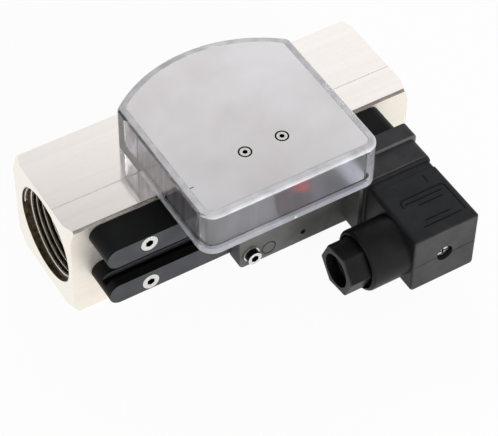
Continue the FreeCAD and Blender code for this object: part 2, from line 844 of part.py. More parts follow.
def make_floor():
    inset = "hood_rim + cover_gap"
    plate = d_block("hood_floor", inset, BODY_TOP, "floor_thickness", "hood_corner - hood_rim - cover_gap")
    holes = [(x, y, "spigot_diameter") for x, y in post_places()]
    holes.append(("0", "-pivot_y", "pivot_diameter"))
    holes += [(x, y, "screw_m3") for x, y in floor_screw_places()]
    for x, y, diameter in holes:
        hole = circle(sketch(plate, "XY_Plane", FLOOR_TOP), x, y, f"{diameter} + 2 * fit_gap")
        pocket(plate, hole, "floor_thickness")
    sinks = []
    rise = "(floor_head_diameter - screw_m3) / 2"
    for x, y in floor_screw_places():
        sink = solid("Cone", "countersink", Radius1="screw_m3 / 2 + fit_gap",
                     Radius2="floor_head_diameter / 2 + fit_gap", Height=rise)
        place(sink, x, y, f"{FLOOR_TOP} - {rise}")
        sinks.append(sink)
    finish(cut("sunk_floor", plate, sinks), "base_plate")

    screws = []
    for x, y in floor_screw_places():
        screw = turned("floor_screw", [
            (f"{BODY_TOP} - {SCREW_DEPTH}", "0"),
            (f"{BODY_TOP} - {SCREW_DEPTH}", "screw_m3 / 2"),
            (f"{FLOOR_TOP} - {rise}", "screw_m3 / 2"),
            (FLOOR_TOP, "floor_head_diameter / 2"),
            (FLOOR_TOP, "0"),
        ])
        place(screw, x, y, "0", Z_AXIS)
        screws.append(screw)
    finish(group("floor_screw_set", screws), "base_screws")


# Pointer

POINTER_LOW = f"({FLOOR_TOP} + pivot_flange_height + slide_gap)"
POINTER_HIGH = f"({POINTER_LOW} + pointer_hub_height)"
ARM_LOW = f"({FLOOR_TOP} + arm_height)"
ARM_HIGH = f"({ARM_LOW} + arm_thickness)"
CLIP_LOW = f"({POINTER_HIGH} + slide_gap)"
CLIP_HIGH = f"({CLIP_LOW} + clip_thickness)"
SCALE_OUTER = "(hood_radius - hood_wall - fit_gap)"
REACH = f"({SCALE_OUTER} - scale_thickness - pointer_gap)"
TAIL = "(hood_front - hood_wall - pivot_y - weight_diameter / 2 - tail_gap)"


def make_pivot():
    flange = f"{FLOOR_TOP} + pivot_flange_height"
    tip = f"{CLIP_HIGH} + pivot_overhang"
    pin = turned("axle", [
        (BODY_TOP, "0"),
        (BODY_TOP, "pivot_diameter / 2"),
        (FLOOR_TOP, "pivot_diameter / 2"),
        (FLOOR_TOP, "pivot_flange_diameter / 2"),
        (flange, "pivot_flange_diameter / 2"),
        (flange, "pivot_diameter / 2"),
        (tip, "pivot_diameter / 2"),
        (tip, "0"),
    ])
    finish(pin, "pivot_pin", "0", "-pivot_y", "0", Z_AXIS)
    clip = turned("axle_clip", [
        (CLIP_LOW, "pivot_diameter / 2 + fit_gap"),
        (CLIP_HIGH, "pivot_diameter / 2 + fit_gap"),
        (CLIP_HIGH, "pivot_flange_diameter / 2"),
        (CLIP_LOW, "pivot_flange_diameter / 2"),
    ])
    finish(clip, "pivot_clip", "0", "-pivot_y", "0", Z_AXIS)


def make_pointer():
    """Drawn about its own pivot with the tip along +y, then turned to its place of rest."""
    body = new_body("needle")
    pad(body, circle(sketch(body, "XY_Plane", POINTER_LOW), "0", "0", "pointer_hub_diameter"),
        "pointer_hub_height")
    arm = outline(sketch(body, "XY_Plane", ARM_LOW), [
        ("tail_offset - arm_root / 2", f"-{TAIL}"),
        ("tail_offset + arm_root / 2", f"-{TAIL}"),
        ("arm_root / 2", "0"),
        ("arm_tip / 2", REACH),
        ("-arm_tip / 2", REACH),
        ("-arm_root / 2", "0"),
    ])
    pad(body, arm, "arm_thickness")
    holder = "follower_diameter + 2 * follower_wall"
    pad(body, circle(sketch(body, "XY_Plane", ARM_LOW), "0", "pivot_y", holder), "arm_thickness")
    tail = circle(sketch(body, "XY_Plane", ARM_LOW), "tail_offset", f"-{TAIL}", "weight_diameter")
    pad(body, tail, "tail_height")
    blade = outline(sketch(body, "YZ_Plane", "-blade_thickness / 2"), [
        (f"{REACH} - 2 * blade_length", ARM_HIGH),
        (REACH, ARM_HIGH),
        (REACH, f"{COVER_UNDER} - blade_gap"),
        (f"{REACH} - blade_length / 2", f"{COVER_UNDER} - blade_gap"),
        (f"{REACH} - blade_length", f"{ARM_HIGH} + arm_thickness"),
    ])
    pad(body, blade, "blade_thickness")
    seat = circle(sketch(body, "XY_Plane", ARM_HIGH), "0", "pivot_y", "follower_diameter + 2 * fit_gap")
    pocket(body, seat, "arm_thickness")
    bore = circle(sketch(body, "XY_Plane", POINTER_HIGH), "0", "0", "pivot_diameter + 2 * run_gap")
    pocket(body, bore, "pointer_hub_height")
    rest_on_pivot(body, "pointer")

    magnet = solid("Cylinder", "follower", Radius="follower_diameter / 2", Height="follower_height")
    place(magnet, "0", "pivot_y", f"{ARM_HIGH} - follower_height")
    rest_on_pivot(group("follower_seat", [magnet]), "pointer_magnet")
    weight = solid("Cylinder", "tail_weight", Radius="weight_diameter / 2", Height="weight_height")
    place(weight, "tail_offset", f"-{TAIL}", f"{ARM_LOW} - weight_height")
    rest_on_pivot(group("tail_weight_seat", [weight]), "pointer_weight")


def rest_on_pivot(item, label):
    finish(item, label, "0", "-pivot_y", "0", FreeCAD.Rotation(FreeCAD.Vector(0, 0, 1), 1))
    bind(item, "Placement.Rotation.Angle", "pointer_rest * 1 deg")


def make_scale():
    body = new_body("scale_band")
    section = sketch(body, "XZ_Plane")
    inner = f"{SCALE_OUTER} - scale_thickness"
    rectangle(section, inner, SCALE_OUTER, FLOOR_TOP, f"{FLOOR_TOP} + scale_height")
    band = body.newObject("PartDesign::Revolution", "scale_sweep")
    band.Profile = section
    band.ReferenceAxis = (section, ["V_Axis"])
    bind(band, "Angle", "scale_angle")
    doc.recompute()
    finish(body, "scale_strip", "0", "-pivot_y", "0", FreeCAD.Rotation(FreeCAD.Vector(0, 0, 1), 1))
    bind(body, "Placement.Rotation.Angle", "(90 - scale_angle / 2) * 1 deg")


# Rails

def make_rails():
    for label, side in RAIL_SIDES.items():
        body = new_body(f"{label}_bar")
        middle = f"{RAIL_MIDDLE} + {side} * rail_pitch / 2"
        profile = sketch(body, "XZ_Plane", "body_width / 2")
        pad(body, slot(profile, RAIL_LEFT, RAIL_RIGHT, middle, "rail_height"), "rail_depth")

        inner = f"{RAIL_MIDDLE} + {side} * (rail_pitch / 2 - rail_height / 2)"
        deep = f"{inner} + {side} * groove_depth"
        groove = sketch(body, "YZ_Plane", RAIL_RIGHT)
        left = f"{GROOVE_Y} - groove_width / 2"
        right = f"{GROOVE_Y} + groove_width / 2"
        outline(groove, [(left, inner), (right, inner), (right, deep), (left, deep)])
        pocket(body, groove, "rail_length")

        for x, z in rail_screw_places():
            if number(f"{side} * ({z} - {RAIL_MIDDLE})") < 0:
                continue
            hole = sketch(body, "XZ_Plane", opposite(RAIL_FRONT))
            pocket(body, circle(hole, x, z, "screw_m4 + 2 * fit_gap"), "rail_depth")
            seat = sketch(body, "XZ_Plane", opposite(RAIL_FRONT))
            pocket(body, circle(seat, x, z, "rail_head_diameter + 2 * rail_head_room"), "rail_head_height")
        finish(body, label)


def make_rail_screws():
    front = opposite(RAIL_FRONT)
    tip = f"body_width / 2 - {SCREW_DEPTH}"
    screws = []
    for x, z in rail_screw_places():
        screw = socket_screw("rail_screw", tip, f"{front} - rail_head_height", front,
                             "screw_m4", "rail_head_diameter", "socket_m4")
        place(screw, x, "0", z, FRONT_AXIS)
        screws.append(screw)
    finish(group("rail_screw_set", screws), "rail_screws")


# Switch carriage

TONGUE_BACK = f"({RAIL_FRONT} + tongue_depth)"
TONGUE_LOW = f"({RAIL_MIDDLE} - rail_pitch / 2 + rail_height / 2 + slide_gap)"
TONGUE_HIGH = f"({RAIL_MIDDLE} + rail_pitch / 2 - rail_height / 2 - slide_gap)"
TONGUE_RIGHT = "(slab_right - tongue_end)"
REED_Y = f"({TONGUE_BACK} - reed_from_face)"
REED_BORE = "(reed_diameter + 2 * slide_gap)"


def pin_square(body, offset, half):
    """A square about the plug's axis, on a plane that faces the front."""
    drawing = sketch(body, "XZ_Plane", offset)
    left = f"{PLUG_X} - {half}"
    right = f"{PLUG_X} + {half}"
    return rectangle(drawing, left, right, f"{PLUG_MIDDLE} - {half}", f"{PLUG_MIDDLE} + {half}")


def on_slab_rim(edge):
    """True for the edges round the slab's front, and not for those where the base stands on it."""
    middle = middle_of(edge)
    if not near(edge.BoundBox.YMin, number(SLAB_FRONT)) or not near(edge.BoundBox.YLength, 0):
        return False
    over = middle.z > number(f"{SLAB_HIGH} - base_step / 2")
    under = middle.z < number(f"{SLAB_LOW} + base_step / 2")
    beside = middle.x > number("slab_right - base_inset / 2")
    return over or under or beside or near(middle.x, number("slab_left"))


def make_switch_body():
    body = new_body("carriage")
    base = sketch(body, "XZ_Plane", opposite(SLAB_FRONT))
    rectangle(base, f"{PLUG_LEFT} - base_margin", "slab_right - base_inset",
              f"{SLAB_LOW} + base_step", f"{SLAB_HIGH} - base_step")
    pad(body, base, "base_depth")
    dress(body, "Fillet", "base_corner", lambda edge: runs_along(edge, 1))

    slab = sketch(body, "XZ_Plane", opposite(SLAB_BACK))
    pad(body, rectangle(slab, "slab_left", "slab_right", SLAB_LOW, SLAB_HIGH), "slab_thickness")
    face = number(SLAB_FRONT)
    dress(body, "Fillet", "slab_corner", lambda edge: runs_along(edge, 1) and middle_of(edge).y > face)
    dress(body, "Fillet", "slab_edge", on_slab_rim)

    # the tongue runs between the rails, with a rib in each rail's groove
    tongue = sketch(body, "XZ_Plane", opposite(SLAB_BACK))
    pad(body, rectangle(tongue, "slab_left", TONGUE_RIGHT, TONGUE_LOW, TONGUE_HIGH),
        "tongue_depth + slide_gap", reverse=True)
    ribs = sketch(body, "YZ_Plane", "slab_left")
    rectangle(ribs, f"{GROOVE_Y} - rib_width / 2", f"{GROOVE_Y} + rib_width / 2",
              f"{TONGUE_LOW} - rib_height", f"{TONGUE_HIGH} + rib_height")
    pad(body, ribs, f"{TONGUE_RIGHT} - slab_left")

    # bores for the reed, the clamp screw and the adjusting window
    reed = circle(sketch(body, "YZ_Plane", "slab_left"), REED_Y, RAIL_MIDDLE, REED_BORE)
    pocket(body, reed, "reed_plug_length + reed_length + reed_room", along=True)
    clamp = sketch(body, "XZ_Plane", opposite(SLAB_FRONT))
    pocket(body, circle(clamp, CLAMP_X, CLAMP_Z, "screw_m3 + 2 * run_gap"), "slab_thickness")
    window = sketch(body, "XZ_Plane", opposite(SLAB_FRONT))
    circle(window, "slab_left + window_inset", f"{CLAMP_Z} - window_drop", "window_diameter")
    pocket(body, window, "window_depth")

    # the recess for the plug's pins, and the hole for its screw
    recess = pin_square(body, opposite(BASE_FRONT), "(pin_base_size / 2 + fit_gap)")
    pocket(body, recess, "pin_base_depth")
    thread = sketch(body, "XZ_Plane", opposite(BASE_FRONT))
    circle(thread, PLUG_X, PLUG_MIDDLE, "screw_m3 + 2 * run_gap")
    pocket(body, thread, "plug_screw_reach + slide_gap")
    finish(body, "switch_body")


def make_reed():
    start = "slab_left + reed_plug_length"
    reed = solid("Cylinder", "reed", Radius="reed_diameter / 2", Height="reed_length")
    place(reed, start, REED_Y, RAIL_MIDDLE, ALONG_X)
    finish(group("reed_seat", [reed]), "reed_switch")
    plug = solid("Cylinder", "reed_stopper", Radius=f"{REED_BORE} / 2 - fit_gap", Height="reed_plug_length")
    place(plug, "slab_left", REED_Y, RAIL_MIDDLE, ALONG_X)
    finish(group("reed_stopper_seat", [plug]), "reed_plug")


def make_clamp_screw():
    face = opposite(SLAB_FRONT)
    tip = f"{opposite(RAIL_FRONT)} + slide_gap"
    collar = f"{face} + slide_gap"
    neck = f"{collar} + clamp_collar_height"
    top = f"{neck} + clamp_head_height"
    screw = turned("jack_screw", [
        (tip, "0"),
        (tip, "screw_m3 / 2"),
        (collar, "screw_m3 / 2"),
        (collar, "clamp_collar_diameter / 2"),
        (neck, "clamp_collar_diameter / 2"),
        (neck, "clamp_head_diameter / 2"),
        (top, "clamp_head_diameter / 2"),
        (top, "0"),
    ])
    pocket(screw, hexagon(sketch(screw, "YZ_Plane", top), "socket_m4"), "clamp_head_height * socket_share")
    finish(screw, "clamp_screw", CLAMP_X, "0", CLAMP_Z, FRONT_AXIS)


def pin_boxes(name, low, high, gap):
    """Four flat pins in a cross, from low to high along the front direction, with a gap round each."""
    boxes = []
    depth = f"{high} - ({low})"
    thick = f"pin_thickness + 2 * ({gap})"
    wide = f"pin_width + 2 * ({gap})"
    for side in (-1, 1):
        boxes.append(block(name, f"{PLUG_X} + {side} * pin_radius - ({thick}) / 2", f"-({high})",
                           f"{PLUG_MIDDLE} - ({wide}) / 2", thick, depth, wide))
        boxes.append(block(name, f"{PLUG_X} - ({wide}) / 2", f"-({high})",
                           f"{PLUG_MIDDLE} + {side} * pin_radius - ({thick}) / 2", wide, depth, thick))
    return boxes


def make_pins():
    back = f"{BASE_FRONT} + pin_base_depth"
    half = "pin_base_size / 2"
    seat = block("pin_seat", f"{PLUG_X} - {half}", BASE_FRONT, f"{PLUG_MIDDLE} - {half}",
                 "pin_base_size", "pin_base_depth", "pin_base_size")
    hole = drill("pin_seat_hole", "screw_m3 + 2 * slide_gap", "pin_base_depth",
                 PLUG_X, back, PLUG_MIDDLE, ALONG_FRONT)
    slots = pin_boxes("pin_slot", opposite(back), opposite(BASE_FRONT), "fit_gap")
    finish(cut("pin_carrier", seat, [hole] + slots), "pin_base")
    pins = pin_boxes("pin", opposite(back), f"{opposite(BASE_FRONT)} + pin_length", "0 * fit_gap")
    finish(group("pin_set", pins), "contact_pins")


# Angle plug and gland

def make_gasket():
    body = new_body("plug_seal")
    face = sketch(body, "XZ_Plane", opposite(BASE_FRONT))
    rectangle(face, f"{PLUG_LEFT} - gasket_lip", f"{PLUG_RIGHT} + gasket_lip",
              f"{PLUG_LOW} - gasket_lip", f"{PLUG_HIGH} + gasket_lip")
    pad(body, face, "gasket_thickness")
    dress(body, "Fillet", "plug_corner", lambda edge: runs_along(edge, 1))
    dress(body, "Fillet", "gasket_edge", lambda edge: near(edge.BoundBox.YLength, 0))
    window = pin_square(body, opposite(BASE_FRONT), "pin_base_size / 2")
    pocket(body, window, "gasket_thickness", along=True)
    finish(body, "plug_gasket")


def make_plug_housing():
    body = new_body("plug_shell")
    flange = sketch(body, "XZ_Plane", opposite(PLUG_BACK))
    rectangle(flange, f"{PLUG_LEFT} + flange_inset", f"{PLUG_RIGHT} - flange_inset",
              f"{PLUG_LOW} + flange_inset", f"{PLUG_HIGH} - flange_inset")
    pad(body, flange, "flange_depth")
    shell = sketch(body, "XZ_Plane", f"{opposite(PLUG_BACK)} + flange_depth")
    rectangle(shell, PLUG_LEFT, PLUG_RIGHT, PLUG_LOW, PLUG_HIGH)
    pad(body, shell, "plug_depth - flange_depth")
    dress(body, "Fillet", "plug_corner", lambda edge: runs_along(edge, 1))
    front = number(PLUG_FRONT)
    dress(body, "Fillet", "plug_edge", lambda edge: near(edge.BoundBox.YMax, front))

    # the gland's boss, round the cable's axis
    boss = sketch(body, "YZ_Plane", f"{PLUG_LEFT} + plug_wall")
    circle(boss, GLAND_Y, PLUG_MIDDLE, "boss_diameter")
    pad(body, boss, "boss_length + plug_wall", reverse=True)
    end = number(BOSS_END)
    dress(body, "Fillet", "boss_edge", lambda edge: near(edge.BoundBox.XMax, end))

    # room for the terminal block, the gland's bore and the way for the wires
    room = sketch(body, "XZ_Plane", opposite(PLUG_BACK))
    rectangle(room, f"{PLUG_LEFT} + plug_wall", f"{PLUG_RIGHT} - plug_wall", f"{PLUG_LOW} + plug_wall",
              f"{PLUG_HIGH} - plug_wall")
    pocket(body, room, "plug_depth - plug_front_wall", along=True)
    bores = [
        ("boss_recess_diameter", "boss_recess_depth"),
        ("gland_bore", "gland_bore_depth"),
        ("cable_way", "boss_length + plug_wall"),
    ]
    for diameter, depth in bores:
        bore = circle(sketch(body, "YZ_Plane", BOSS_END), GLAND_Y, PLUG_MIDDLE, diameter)
        pocket(body, bore, depth, along=True)

    # the screw's hole and its recess in the front
    hole = sketch(body, "XZ_Plane", opposite(PLUG_FRONT))
    pocket(body, circle(hole, PLUG_X, PLUG_MIDDLE, "screw_m3 + 2 * run_gap"), "plug_front_wall")
    recess = sketch(body, "XZ_Plane", opposite(PLUG_FRONT))
    pocket(body, circle(recess, PLUG_X, PLUG_MIDDLE, "plug_screw_recess"), "plug_screw_recess_depth")
    finish(body, "plug_housing")


BLOCK_BACK = f"({PLUG_BACK} - fit_gap)"
BLOCK_FRONT = f"({BLOCK_BACK} - block_depth)"


def make_contact_block():
    wall = "(plug_wall + fit_gap)"
    solid_block = block("terminal_block", f"{PLUG_LEFT} + {wall}", BLOCK_FRONT, f"{PLUG_LOW} + {wall}",
                        f"plug_width - 2 * {wall}", "block_depth", f"plug_height - 2 * {wall}")
    slot_end = f"{opposite(BASE_FRONT)} + pin_length + slide_gap"
    slots = pin_boxes("socket", opposite(BLOCK_BACK), slot_end, "pin_gap")
    hole = drill("block_hole", "screw_m3 + 2 * slide_gap", "block_depth",
                 PLUG_X, BLOCK_BACK, PLUG_MIDDLE, ALONG_FRONT)
    finish(cut("terminal_carrier", solid_block, slots + [hole]), "contact_block")

    screws = []
    for side in (-1, 1):
        for level in (-1, 1):
            screw = solid("Cylinder", "terminal", Radius="terminal_diameter / 2", Height="terminal_height")
            place(screw, f"{PLUG_X} + {side} * terminal_radius", BLOCK_FRONT,
                  f"{PLUG_MIDDLE} + {level} * terminal_radius", ALONG_FRONT)
            screws.append(screw)
    finish(group("terminal_set", screws), "block_screws")


def make_plug_screw():
    seat = f"{opposite(PLUG_FRONT)} - plug_screw_recess_depth + fit_gap"
    top = f"{seat} + plug_screw_head_height"
    tip = f"{opposite(BASE_FRONT)} - plug_screw_reach"
    screw = turned("long_screw", [
        (tip, "0"),
        (tip, "screw_m3 / 2"),
        (seat, "screw_m3 / 2"),
        (seat, "plug_screw_head / 2"),
        (top, "plug_screw_head / 2"),
        (top, "0"),
    ])
    half = "plug_screw_slot / 2"
    reach = "plug_screw_slot_reach"
    for wide, tall in ((reach, half), (half, reach)):
        notch = rectangle(sketch(screw, "YZ_Plane", top), f"-({wide})", wide, f"-({tall})", tall)
        pocket(screw, notch, "plug_screw_slot_depth")
    finish(screw, "plug_screw", PLUG_X, "0", PLUG_MIDDLE, FRONT_AXIS)


GLAND_END = f"({BOSS_END} + gland_bore_depth)"
SEAL_START = f"({GLAND_END} - seal_length)"
WASHER_START = f"({SEAL_START} - washer_thickness)"


def make_gland_nut():
    """A hexagon nut drawn about its own axis, with the open face towards -x."""
    body = new_body("nut")
    face = f"({BOSS_END} - nut_reach)"
    shoulder = f"({BOSS_END} + boss_recess_depth - nut_gap)"
    spigot_length = f"({WASHER_START} - slide_gap - {shoulder})"
    head = hexagon(sketch(body, "YZ_Plane", face), "nut_across", "nut_turn")
    pad(body, head, f"{shoulder} - {face}")
    dress(body, "Fillet", "nut_corner", lambda edge: runs_along(edge, 0))
    front = number(face)
    dress(body, "Chamfer", "nut_chamfer", lambda edge: near(edge.BoundBox.XMax, front))
    spigot = circle(sketch(body, "YZ_Plane", shoulder), "0", "0", "gland_bore - 2 * slide_gap")
    pad(body, spigot, spigot_length)
    mouth = circle(sketch(body, "YZ_Plane", face), "0", "0", "nut_mouth")
    pocket(body, mouth, "nut_mouth_depth", along=True)
    bore = circle(sketch(body, "YZ_Plane", face), "0", "0", "nut_bore")
    pocket(body, bore, f"{shoulder} + {spigot_length} - {face}", along=True)
    finish(body, "gland_nut", "0", GLAND_Y, PLUG_MIDDLE)


def make_gland_seal():
    outer = "gland_bore / 2 - fit_gap"
    rings = [
        ("gland_seal", SEAL_START, GLAND_END, "cable_diameter / 2"),
        ("gland_washer", WASHER_START, SEAL_START, "nut_bore / 2"),
    ]
    for label, start, end, inner in rings:
        ring = turned(f"{label}_ring", [(start, inner), (end, inner), (end, outer), (start, outer)])
        finish(ring, label, "0", GLAND_Y, PLUG_MIDDLE)


def export():
    """Stop if anything failed, then write one file per sub-part."""
    doc.recompute()
    for item in doc.Objects:
        if "Invalid" in item.State or "Error" in item.State:
            raise ValueError(f"{item.Name} failed: {item.State}")
    os.makedirs("parts", exist_ok=True)
    for item in subparts:
        if item.Shape.isNull() or not item.Shape.isValid():
            raise ValueError(f"{item.Label} has no valid shape")
    for item in subparts:
        item.Shape.exportStep(f"parts/{item.Label}.step")


make_body()
make_retaining_rings()
make_guides()
make_guide_rod()
make_orifice_ring()
make_float()
make_spring()
make_hood()
make_cover()
make_cover_screws()
make_posts()
make_floor()
make_pivot()
make_pointer()
make_scale()
make_rails()
make_rail_screws()
make_switch_body()
make_reed()
make_clamp_screw()
make_pins()
make_gasket()
make_plug_housing()
make_contact_block()
make_plug_screw()
make_gland_nut()
make_gland_seal()
export()
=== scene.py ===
import json
import math

import bmesh
import bpy
from mathutils import Matrix, Vector


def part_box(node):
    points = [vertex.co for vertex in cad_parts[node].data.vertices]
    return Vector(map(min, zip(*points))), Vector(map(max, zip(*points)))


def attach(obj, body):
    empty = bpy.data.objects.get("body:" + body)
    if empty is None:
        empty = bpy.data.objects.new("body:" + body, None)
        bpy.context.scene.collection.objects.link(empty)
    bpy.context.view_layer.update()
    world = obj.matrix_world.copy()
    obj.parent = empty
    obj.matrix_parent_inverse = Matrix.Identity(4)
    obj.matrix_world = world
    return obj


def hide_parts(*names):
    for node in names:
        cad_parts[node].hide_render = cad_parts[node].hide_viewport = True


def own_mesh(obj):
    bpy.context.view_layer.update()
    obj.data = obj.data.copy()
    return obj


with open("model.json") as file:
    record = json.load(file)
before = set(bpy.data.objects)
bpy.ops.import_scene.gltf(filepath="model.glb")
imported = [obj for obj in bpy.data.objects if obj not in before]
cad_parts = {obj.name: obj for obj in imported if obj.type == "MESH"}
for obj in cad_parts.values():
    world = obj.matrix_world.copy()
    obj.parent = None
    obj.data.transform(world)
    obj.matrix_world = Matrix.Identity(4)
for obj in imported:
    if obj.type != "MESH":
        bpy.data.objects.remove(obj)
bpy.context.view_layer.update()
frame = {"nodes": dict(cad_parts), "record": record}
nodes = frame["nodes"]
slot_of = {row["node"]: row["material_slot"] for row in frame["record"]["subparts"]}

MM = 0.001
scene = bpy.context.scene
scene.view_settings.view_transform = "Standard"


# Camera, at the photograph's viewing angle

CAMERA_PLACE = Vector((-0.2947, -0.5005, 0.6446))
CAMERA_AZIMUTH = -32.012
CAMERA_ELEVATION = 48.443
CAMERA_ROLL = 1.053
CAMERA_LENS = 144.26
SENSOR_WIDTH = 36.0


def away_from_part(azimuth, elevation):
    """Unit vector from the part, with the azimuth counted from its front; angles in degrees."""
    azimuth, elevation = math.radians(azimuth), math.radians(elevation)
    level = math.cos(elevation)
    return Vector((math.sin(azimuth) * level, -math.cos(azimuth) * level, math.sin(elevation)))


def make_camera():
    back = away_from_part(CAMERA_AZIMUTH, CAMERA_ELEVATION)
    azimuth = math.radians(CAMERA_AZIMUTH)
    right = Vector((math.cos(azimuth), math.sin(azimuth), 0.0))
    level_turn = Matrix((right, back.cross(right), back)).transposed()
    turn = level_turn @ Matrix.Rotation(math.radians(CAMERA_ROLL), 3, "Z")
    data = bpy.data.cameras.new("camera")
    data.lens = CAMERA_LENS
    data.sensor_width = SENSOR_WIDTH
    camera = bpy.data.objects.new("camera", data)
    scene.collection.objects.link(camera)
    camera.matrix_world = Matrix.Translation(CAMERA_PLACE) @ turn.to_4x4()
    scene.camera = camera


# Light, floor and background

AMBIENT = 0.3
AMBIENT_COLOUR = (1.0, 0.99, 0.98, 1.0)
WHITE = (1.0, 1.0, 1.0, 1.0)
CEILING = 0.35
CEILING_START = 0.69
CEILING_STOP = 0.81
FLOOR_HALF = 3.0
FLOOR_DROP = 0.2
FLOOR_GLOW = 0.94
PAPER_COLOUR = (0.9, 0.9, 0.9, 1.0)
LAMP_AIM = Vector((0.0, -20 * MM, 35 * MM))


def seen_directly(tree):
    """1 for rays that come from the camera, or from metal and glass."""
    path = tree.nodes.new("ShaderNodeLightPath")
    seen = path.outputs["Is Camera Ray"]
    for kind in ("Is Glossy Ray", "Is Transmission Ray"):
        either = tree.nodes.new("ShaderNodeMath")
        either.operation = "MAXIMUM"
        tree.links.new(seen, either.inputs[0])
        tree.links.new(path.outputs[kind], either.inputs[1])
        seen = either.outputs[0]
    return seen


def mix_into(tree, share, first, second, output):
    """Shows the first shader, and the second one by its share."""
    mix = tree.nodes.new("ShaderNodeMixShader")
    tree.links.new(share, mix.inputs["Fac"])
    tree.links.new(first.outputs[0], mix.inputs[1])
    tree.links.new(second.outputs[0], mix.inputs[2])
    tree.links.new(mix.outputs[0], output.inputs["Surface"])


def make_world():
    """White all round, with a grey ceiling that shows in the metal."""
    world = bpy.data.worlds.new("studio")
    world.use_nodes = True
    scene.world = world
    tree = world.node_tree
    tree.nodes.clear()
    output = tree.nodes.new("ShaderNodeOutputWorld")
    light = tree.nodes.new("ShaderNodeBackground")
    light.inputs["Color"].default_value = AMBIENT_COLOUR
    light.inputs["Strength"].default_value = AMBIENT
    white = tree.nodes.new("ShaderNodeBackground")
    white.inputs["Color"].default_value = WHITE
    spot = tree.nodes.new("ShaderNodeTexCoord")
    apart = tree.nodes.new("ShaderNodeSeparateXYZ")
    tree.links.new(spot.outputs["Generated"], apart.inputs[0])
    fade = tree.nodes.new("ShaderNodeMapRange")
    fade.interpolation_type = "SMOOTHSTEP"
    fade.inputs["From Min"].default_value = CEILING_START
    fade.inputs["From Max"].default_value = CEILING_STOP
    fade.inputs["To Min"].default_value = 1.0
    fade.inputs["To Max"].default_value = CEILING
    tree.links.new(apart.outputs["Z"], fade.inputs["Value"])
    tree.links.new(fade.outputs["Result"], white.inputs["Strength"])
    mix_into(tree, seen_directly(tree), light, white, output)


def make_floor():
    """A sheet of white paper just under the part."""
    half = FLOOR_HALF
    mesh = bpy.data.meshes.new("floor")
    corners = [(-half, -half, 0), (half, -half, 0), (half, half, 0), (-half, half, 0)]
    mesh.from_pydata(corners, [], [(0, 1, 2, 3)])
    floor = bpy.data.objects.new("floor", mesh)
    floor.location.z = -FLOOR_DROP * MM
    scene.collection.objects.link(floor)
    material = bpy.data.materials.new("floor")
    material.use_nodes = True
    tree = material.node_tree
    tree.nodes.clear()
    output = tree.nodes.new("ShaderNodeOutputMaterial")
    paper = tree.nodes.new("ShaderNodeBsdfDiffuse")
    paper.inputs["Color"].default_value = PAPER_COLOUR
    white = tree.nodes.new("ShaderNodeEmission")
    white.inputs["Strength"].default_value = 1.0
    share = tree.nodes.new("ShaderNodeMath")
    share.operation = "MULTIPLY"
    share.inputs[1].default_value = FLOOR_GLOW
    tree.links.new(seen_directly(tree), share.inputs[0])
    mix_into(tree, share.outputs[0], paper, white, output)
    mesh.materials.append(material)


def make_lamp(name, azimuth, elevation, distance, size, power):
    """A square soft box that is aimed at the middle of the part and doesn't show in the metal."""
    away = away_from_part(azimuth, elevation)
    data = bpy.data.lights.new(name, "AREA")
    data.shape = "SQUARE"
    data.size = size
    data.energy = power
    lamp = bpy.data.objects.new(name, data)
    scene.collection.objects.link(lamp)
    lamp.location = LAMP_AIM + away * distance
    lamp.rotation_mode = "QUATERNION"
    lamp.rotation_quaternion = (-away).to_track_quat("-Z", "Y")
    lamp.visible_glossy = False


make_camera()
make_world()
make_floor()
make_lamp("front_lamp", azimuth=2, elevation=18, distance=1.1, size=0.6, power=12.0)
make_lamp("back_lamp", azimuth=160, elevation=40, distance=1.2, size=0.8, power=6.0)


# Materials

NOISE_LOW = 0.3
NOISE_HIGH = 0.7
BEVEL_SAMPLES = 6
SCREEN_KNEE = 10
AXIS_Z = 25.0


